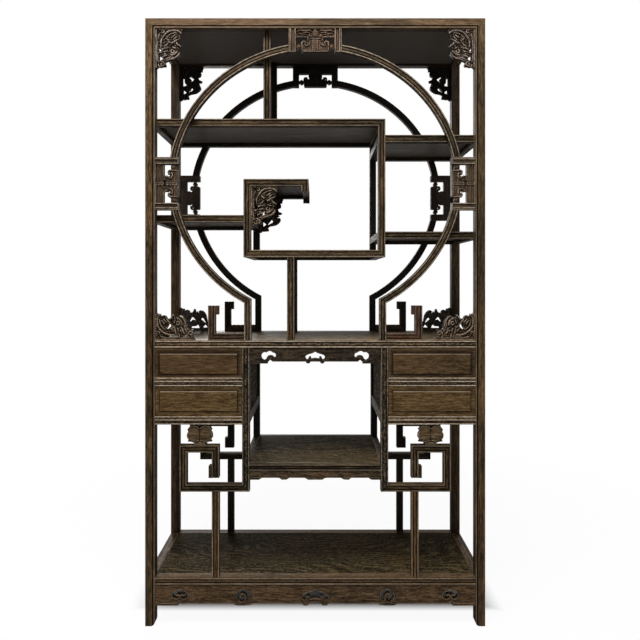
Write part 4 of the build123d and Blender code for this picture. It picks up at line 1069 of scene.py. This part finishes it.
def cartoucheField(c, us, vs):
    across, plain = np.abs(us), c["plain"]
    fromEnd, fromEdge = c["half"] - across, c["deep"] - vs
    ballU, ballV, ballRadius = c["ball"]
    tablet = oblong(across, vs, c["beyond"], c["tablet"], c["shoulder"], c["deep"])
    ball = roundField(across, vs, *c["ball"])
    curl, curlTop = stroke(across, vs, c["curl"])
    link = stroke(across, vs, [(c["tablet"] - 2, ballV, 3.6, 1), (ballU, ballV, 4.4, 1),
                               (c["half"] - c["bar"] + 2, ballV, 3.6, 1)])[0]
    tip = outlined(across, vs, [(ballU - 5, ballV - 5), (ballU, ballV - 9.5), (ballU + 5, ballV - 5),
                                (ballU, ballV)])
    away = np.minimum.reduce([oblong(across, vs, c["beyond"], c["half"], 0, c["plate"]),
                              oblong(across, vs, c["half"] - c["bar"], c["half"], 0, c["deep"]),
                              outlined(across, vs, c["stem"]), roundField(across, vs, *c["knob"]),
                              tablet, curl, ball, link, tip])
    away = np.maximum(away, -stroke(across, vs, c["notch"])[0])
    # the plate has a sunk ground between two strips
    top = np.where(vs < c["plate"], np.where(vs < c["topStrip"], c["strip"], c["ground"]), c["face"])
    above, below = c["plateStrip"]
    top = np.where((vs > c["plate"] - above) & (vs <= c["plate"] + below), c["flat"], top)
    # the end bars have a double bead outside, a flat, and a single bead inside
    bars = np.full(us.shape, c["flat"])
    for middle, half in c["beads"]:
        bead = c["strip"] + c["beadRise"] * dome((fromEnd - middle) / half)
        bars = np.where(np.abs(fromEnd - middle) < half, bead, bars)
    for middle, half in c["quirks"]:
        bars = np.where(np.abs(fromEnd - middle) < half, c["ground"], bars)
    bars = np.where((vs > c["deep"] - c["endStrip"]) & (vs <= c["deep"]), c["edge"], bars)
    offBars = fromEnd >= c["bar"]
    top = np.where(offBars, top, bars)
    # the tablet has a light lower edge and a groove above it
    tabletTop = np.where(fromEdge < c["tabletEdge"], c["edge"],
                         np.where(fromEdge < c["tabletGroove"], c["tabletCut"], c["tabletFace"]))
    top = np.where((tablet < 0) & offBars, tabletTop, top)
    ballTop = c["ground"] + c["ballRise"] * dome(np.hypot(across - ballU, vs - ballV) / ballRadius)
    top = np.where(ball < 0, ballTop, top)
    top = np.where((curl < c["curlCut"]) & offBars, np.minimum(top, c["groove"]), top)
    top = np.maximum(top, curlTop)
    if plain:
        onPlate = (vs > c["topStrip"]) & (vs < c["plate"] - above) & offBars
        lined = np.minimum.reduce([np.abs(vs - line) for line in c["plainLines"]]) < c["halfLine"]
        top = np.where(onPlate, np.where(lined, c["lines"], c["betweenLines"]), top)
    top = laid(top, across, vs, c["rings"] if plain else c["rings"] + c["waves"], c["ground"], offBars)
    width, start = c["plainBand"] if plain else c["band"]
    band = (vs > start) & (vs < c["deep"] - c["tabletGroove"])
    top = np.where(band & (np.abs(across - width - c["halfLine"]) < c["halfLine"]), c["groove"], top)
    depth, turnU, turnV = c["weave"]
    weave = c["strip"] + depth * np.sin(us * turnU) * np.sin(vs * turnV)
    top = np.where(band & (across < width), weave, top)
    if plain:
        knotV, knotHalf, knotWidth = c["knotPlace"]
        top = np.where((np.abs(vs - knotV) < knotHalf) & (across < knotWidth), c["plainKnot"], top)
    else:
        bud, budTop = stroke(across, vs, c["bud"])
        besideBud = (bud < c["budCut"]) & (budTop <= 0) & (vs > c["topStrip"])
        top = np.where(besideBud, np.minimum(top, c["ground"]), top)
        petals = c["petalDepth"] * (np.cos(us * 2 * math.pi / c["petal"]) - 1)
        top = np.where(budTop > 0, np.maximum(budTop, c["flat"]) + petals, top)
        waistV, waistWidth = c["waistPlace"]
        top = np.where((np.abs(vs - waistV) < c["halfLine"]) & (across < waistWidth), c["waist"], top)
    return kept(away, across, vs, c["half"], 0, c["deep"]), np.clip(top, carving["deepest"], 1.0)


# whether the carving is plain, as it is at the sides, the painted shade on the inner side (below zero, painted
# # grey light), finish
cartouches = {
    "top_cartouches": (False, 1.0, "piercedWood"),
    "side_cartouches": (True, -0.25, "darkPiercedWood"),
}


def buildCartouches():
    half = cartouche["half"]

    def placeTop(box):
        return sum(box)[0] / 2, box[1][2], [(1, 0, 0), (0, 0, -1)]

    def placeSide(box):
        side = outward(box, 0)
        return box[0 if side < 0 else 1][0], sum(box)[2] / 2, [(0, 0, 1), (-side, 0, 0)]

    for node, (plain, rearShare, finish) in cartouches.items():
        form = {**cartouche, "plain": plain}
        relief = carve((-half, 0), (half, cartouche["deep"]), form, cartoucheField)
        buildCarved(node, relief, finish, placeSide if plain else placeTop,
                    turnBeyond=(half - cartouche["bar"]) / 1000, rearShare=rearShare)


medallion = {
    "half": 41.0, "tall": 65.0, "beyond": -20, "cell": 1.0, "depthShade": 0.5, "gain": 7.0,
    # the swollen middle as u, half width, v and half height; its heights; and the groove down it
    "lobe": (19, 23, 35, 31), "lobeLow": 0.56, "lobeRise": 0.42, "grooveWidth": 2.0, "grooveDepth": 0.07,
    "grooveStart": 12, "foot": (17.5, 8.4, 0.74), "tongue": (60, 0.70),
    "outline": [(0, 0), (17, 0), (17.6, 5), (24.6, 8.5), (39, 9.1), (35, 15), (40.5, 23), (40, 34),
                (35.5, 41.6), (38.6, 48), (31, 58), (31, 65), (0, 65)],
    "edges": [[(2, 51, 1.6, 0.90), (9, 57, 2.2, 1.0), (20, 59.5, 2.4, 1.0), (30, 56, 2.2, 1.0),
               (36, 49, 2.0, 0.96), (36, 43, 1.4, 0.88)],
              [(38, 36, 1.2, 0.86), (38.6, 28, 1.8, 0.92), (36, 20, 1.6, 0.90), (33, 14, 1.2, 0.84)],
              [(3, 14, 1.4, 0.86), (14, 11, 1.6, 0.90), (26, 11.5, 1.4, 0.86)]],
}


def medallionField(m, us, vs):
    across = np.abs(us)
    away = outlined(across, vs, m["outline"] + [(m["beyond"], m["tall"]), (m["beyond"], 0)])
    lobeU, halfU, lobeV, halfV = m["lobe"]
    top = m["lobeLow"] + m["lobeRise"] * dome(np.hypot((across - lobeU) / halfU, (vs - lobeV) / halfV))
    top = top - m["grooveDepth"] * np.exp(-(across / m["grooveWidth"]) ** 2) * (vs > m["grooveStart"])
    for rows in m["edges"]:
        top = np.maximum(top, stroke(across, vs, rows)[1])
    footU, footV, footHeight = m["foot"]
    top = np.where((vs < footV) & (across < footU), footHeight, top)
    tongueV, tongueHeight = m["tongue"]
    top = np.where(vs > tongueV, tongueHeight, top)
    return kept(away, across, vs, m["half"], 0, m["tall"]), np.clip(top, carving["deepest"], 1.0)


def buildMedallions():
    half = medallion["half"]
    relief = carve((-half, 0), (half, medallion["tall"]), medallion, medallionField)

    def place(box):
        return sum(box)[0] / 2, box[0][2], [(1, 0, 0), (0, 0, 1)]

    buildCarved("fret_medallions", relief, "medallionWood", place, key="medallion")


# The middle hole of an apron; lift is the height of its lower edge.
def ruyiHole(across, vs, lift, size):
    lobe = roundField(across, vs, 28.5 * size, lift + 9.5 * size, 9.3 * size)
    body = [(28, 1), (33, 17), (26, 21), (14, 24), (5, 28), (0, 31)]
    body = [(u * size, lift + v * size) for u, v in body]
    arm = outlined(across, vs, [(-20, lift + 4 * size), *body, (-20, lift + 31 * size)])
    curl = stroke(across, vs, [(30 * size, lift - 5, 3.2 * size, 1),
                               (25.5 * size, lift + 1 * size, 2.8 * size, 1),
                               (20 * size, lift + 8 * size, 4.6 * size, 1)])[0]
    bridge = outlined(across, vs, [(-20, -20), (22 * size, -20), (20 * size, lift + 3 * size),
                                  (0, lift + 6 * size), (-20, lift + 6 * size)])
    return np.maximum.reduce([np.minimum(lobe, arm), -curl, -bridge])


def lobedHole(us, vs, lift, lobes, hooks):
    hole = np.minimum.reduce([roundField(us, vs, u, lift + v, radius) for u, v, radius in lobes])
    wood = np.minimum.reduce([stroke(us, vs, [(u, lift + v, radius, 1) for u, v, radius in rows])[0]
                              for rows in hooks])
    return np.maximum(hole, -wood)


# lobes are cut out and hooks are left standing in them: u, v and radius
cloudForm = ([(-13, 9.5, 11.5), (12.5, 10, 11.5), (0, 15, 11.5)],
             [[(0, -8, 4.8), (0, 5, 2.8), (-5, 11, 2.4), (-10, 9, 2.6)],
              [(0, 3, 2.4), (5, 10, 2.2), (10, 9, 2.4)]])
commaForm = ([(-10, 12, 12.5), (4, 17, 11), (15, 15, 8.0)],
             [[(-14, -8, 5.0), (-4, 1, 4.2), (0, 9, 3.8), (9, 10, 4.2), (14, 4, 5.0), (12, -6, 6.0)]])
hookForm = ([(225, 24.5, 20.6)],
            [[(226, 0, 6.0), (219, 9, 3.6), (217.5, 20, 3.0), (223, 29, 2.8), (231, 28.5, 2.6),
              (233, 21, 2.4)]])


# Places in millimetres from the middle of the cabinet and from the apron's straight lower edge; drop is how
# far its lobes hang below that edge, and gridLow is where the drawn grid starts. Shapes are added to the
# straight board or cut out of it. A ruyi hole is given by its height and size, a lobed one by its middle,
# the way it turns, its height and its form.
aprons = {
    "base_aprons": {
        "half": 500.0, "tall": 61.0, "beyond": -50, "drop": 6.0, "gridLow": -6.0, "cell": 1.5,
        "depthShade": 0.0, "gain": 7.0,
        "added": [[(427, -6), (500, -6), (500, 2), (433, 2), (430, 0)],
                  [(193, 1), (203, -4), (237, -6), (249, -4), (257, 1), (225, 6)]],
        "foot": [(29.5, 5.5, 12.5)],
        "cut": [[(413, -0.5), (428, -0.5), (426, 8)], [(-20, -9), (15, -9), (13.5, 1), (10, 4.4), (-20, 4.4)]],
        "ruyi": [(11, 1.08)], "lobed": [(422, 1, 17, cloudForm), (0, 1, 0, hookForm)], "finish": "apronWood"},
    "deck_aprons": {
        "half": 205.0, "tall": 44.0, "beyond": -50, "drop": 6.0, "gridLow": -6.0, "cell": 1.2,
        "depthShade": 0.0, "gain": 7.0,
        "added": [[(147, -6), (205, -6), (205, 2), (151, 2)]], "foot": [(22, 1.5, 7.5)],
        "cut": [[(133, -0.5), (147, -0.5), (140, 6)]],
        "ruyi": [(6, 0.8)], "lobed": [(146, -1, 5, commaForm)], "finish": "deckApronWood"},
    "kneehole_shelf_aprons": {
        "half": 205.0, "tall": 23.0, "beyond": -50, "drop": 6.0, "gridLow": -12.0, "cell": 1.2,
        "depthShade": 0.0, "gain": 7.0,
        "added": [[(166, 1), (172, -4), (178, -6), (205, -6), (205, 3), (172, 3)],
                  [(79, 1), (89, -5), (105, -6), (109, -2), (115, 1), (97, 5)],
                  [(-30, -5), (14, -6), (22, -6), (28, -2), (36, 1), (20, 6), (-30, 6)]],
        "foot": [], "cut": [], "ruyi": [], "lobed": [], "finish": "shelfApronWood"},
}
# A bead runs along an apron's lower edge and round its holes, with a quirk inside it and then a flat; the
# edges that meet other wood are bare.
apronEdge = {"width": 3.4, "rise": 0.10, "quirk": 1.3, "quirkDepth": 0.10, "bare": 8.0}


def apronTop(away):
    half, rise = apronEdge["width"] / 2, apronEdge["rise"]
    bead = 1 - rise + rise * dome((-away - half) / half)
    quirk = np.where(-away < apronEdge["width"] + apronEdge["quirk"],
                     1 - apronEdge["quirkDepth"] - rise * 0.5, 1 - rise)
    return np.where(-away < apronEdge["width"], bead, quirk)


def apronField(form, us, vs):
    across = np.abs(us)
    away = oblong(across, vs, form["beyond"], form["half"], 0, form["tall"])
    for corners in form["added"]:
        away = np.minimum(away, outlined(across, vs, corners))
    for foot in form["foot"]:
        away = np.minimum(away, np.maximum(roundField(across, vs, *foot), -vs - form["drop"]))
    for corners in form["cut"]:
        away = np.maximum(away, -outlined(across, vs, corners))
    for lift, size in form["ruyi"]:
        away = np.maximum(away, -ruyiHole(across, vs, lift, size))
    for middle, turn, lift, shape in form["lobed"]:
        away = np.maximum(away, -lobedHole((across - middle) * turn, vs, lift, *shape))
    away = kept(away, across, vs, form["half"], -form["drop"], form["tall"])
    bare = apronEdge["bare"]
    joined = (vs > form["tall"] - bare) | (across > form["half"] - bare)
    return away, apronTop(np.where(joined, np.minimum(away, -bare), away))


def buildAprons():
    for node, form in aprons.items():
        relief = carve((-form["half"], form["gridLow"]), (form["half"], form["tall"]), form, apronField)

        def place(box):
            return 0, box[1][2] - form["tall"] / 1000, [(1, 0, 0), (0, 0, 1)]

        buildCarved(node, relief, form["finish"], place)


buildArch()
buildDrawerFronts()
buildBrackets()
print("arch, drawer fronts and brackets ready")
buildCartouches()
buildMedallions()
buildAprons()
print("cartouches, medallions and aprons ready")

boardFinish = {"top_panel": "boardWood", "deck_panel": "deckBoardWood", "base_panel": "boardWood",
               "kneehole_shelf_panel": "boardWood", "drawer_unit_side_panels": "crossBoardWood",
               "drawer_unit_back_panels": "boardWood", "panel_battens": "crossBoardWood"}
for node, packed in nodes.items():
    if not packed.hide_render:
        packed.data.materials.clear()
        packed.data.materials.append(wood[boardFinish.get(node, "liningWood")])
print("packed boards finished")

studio = {"floorReach": 6.0, "floorColour": (0.60, 0.60, 0.60), "skyLight": 0.18,
          # where the floor's glow starts and is full: beside the cabinet, before it, behind it
          "beside": (0.53, 0.62), "before": (-0.045, -0.09), "behind": (0.12, 0.30),
          # and how it grows with the distance from the cabinet's middle
          "distance": (0.5, 2.2), "glow": (0.94, 1.0)}
# place, size and power
lamps = {"keyLamp": ((-0.35, -1.35, 3.45), (1.6, 0.9), 182.0),
         "fillLamp": ((1.2, -3.6, 1.6), (1.6, 1.6), 28.0),
         "rearLamp": ((-1.4, 3.5, 2.3), (1.6, 1.6), 85.0)}
view = {"place": (0.003, -1.915, 1.082), "lens": 31.5, "sensor": 36.0, "shiftX": 0.006, "shiftY": -0.064,
        "lampTarget": (0, 0, 1.0)}


def emptied(owner):
    owner.use_nodes = True
    owner.node_tree.nodes.clear()
    return owner.node_tree


# Blends two shaders by share into the output.
def blend(tree, output, share, first, second):
    mix = wire(tree, "MixShader", {0: share, 1: first.outputs[0], 2: second.outputs[0]})
    wire(tree, output, {0: mix.outputs[0]})


# The floor glows white to the camera, but stays matt and shaded under the cabinet.
def buildFloor():
    reach = studio["floorReach"]
    mesh = bpy.data.meshes.new("floor")
    mesh.from_pydata([(-reach, -reach, 0), (reach, -reach, 0), (reach, reach, 0), (-reach, reach, 0)], [],
                     [(0, 1, 2, 3)])
    floor = bpy.data.objects.new("floor", mesh)
    bpy.context.scene.collection.objects.link(floor)
    material = bpy.data.materials.new("paleFloor")
    tree = emptied(material)
    place = wire(tree, "TexCoord").outputs["Object"]
    parts = wire(tree, "SeparateXYZ", {0: place}).outputs
    aside = wire(tree, "Math", {0: parts["X"], 1: 0.0}, operation="ABSOLUTE").outputs[0]
    clear = larger(tree, ranged(tree, aside, *studio["beside"]), ranged(tree, parts["Y"], *studio["before"]))
    clear = larger(tree, clear, ranged(tree, parts["Y"], *studio["behind"]))
    away = wire(tree, "VectorMath", {0: place}, operation="LENGTH").outputs["Value"]
    glowing = times(tree, ranged(tree, away, *studio["distance"], *studio["glow"]), clear)
    path = wire(tree, "LightPath").outputs
    matt = wire(tree, "BsdfDiffuse", {"Color": (*studio["floorColour"], 1)})
    glow = wire(tree, "Emission", {"Strength": 1.0})
    blend(tree, "OutputMaterial", times(tree, glowing, path["Is Camera Ray"]), matt, glow)
    mesh.materials.append(material)


def buildWorld():
    world = bpy.data.worlds.new("studio")
    bpy.context.scene.world = world
    tree = emptied(world)
    path = wire(tree, "LightPath").outputs
    seen = larger(tree, larger(tree, path["Is Camera Ray"], path["Is Glossy Ray"]), path["Is Transmission Ray"])
    soft = wire(tree, "Background", {"Color": (1, 1, 1, 1), "Strength": studio["skyLight"]})
    white = wire(tree, "Background", {"Color": (1, 1, 1, 1), "Strength": 1.0})
    blend(tree, "OutputWorld", seen, soft, white)


def addLamp(name, place, size, power):
    lamp = bpy.data.lights.new(name, "AREA")
    lamp.shape = "RECTANGLE"
    lamp.size, lamp.size_y = size
    lamp.energy = power
    lampObject = bpy.data.objects.new(name, lamp)
    lampObject.location = place
    lampObject.rotation_euler = (Vector(view["lampTarget"]) - Vector(place)).to_track_quat("-Z", "Y").to_euler()
    bpy.context.scene.collection.objects.link(lampObject)


def addCamera():
    camera = bpy.data.cameras.new("camera")
    camera.lens, camera.sensor_width = view["lens"], view["sensor"]
    camera.shift_x, camera.shift_y = view["shiftX"], view["shiftY"]
    cameraObject = bpy.data.objects.new("camera", camera)
    cameraObject.location = view["place"]
    cameraObject.rotation_euler = (math.pi / 2, 0, 0)
    bpy.context.scene.collection.objects.link(cameraObject)
    bpy.context.scene.camera = cameraObject


buildFloor()
buildWorld()
for name, settings in lamps.items():
    addLamp(name, *settings)
addCamera()
bpy.context.scene.view_settings.view_transform = "Standard"
print("studio ready")
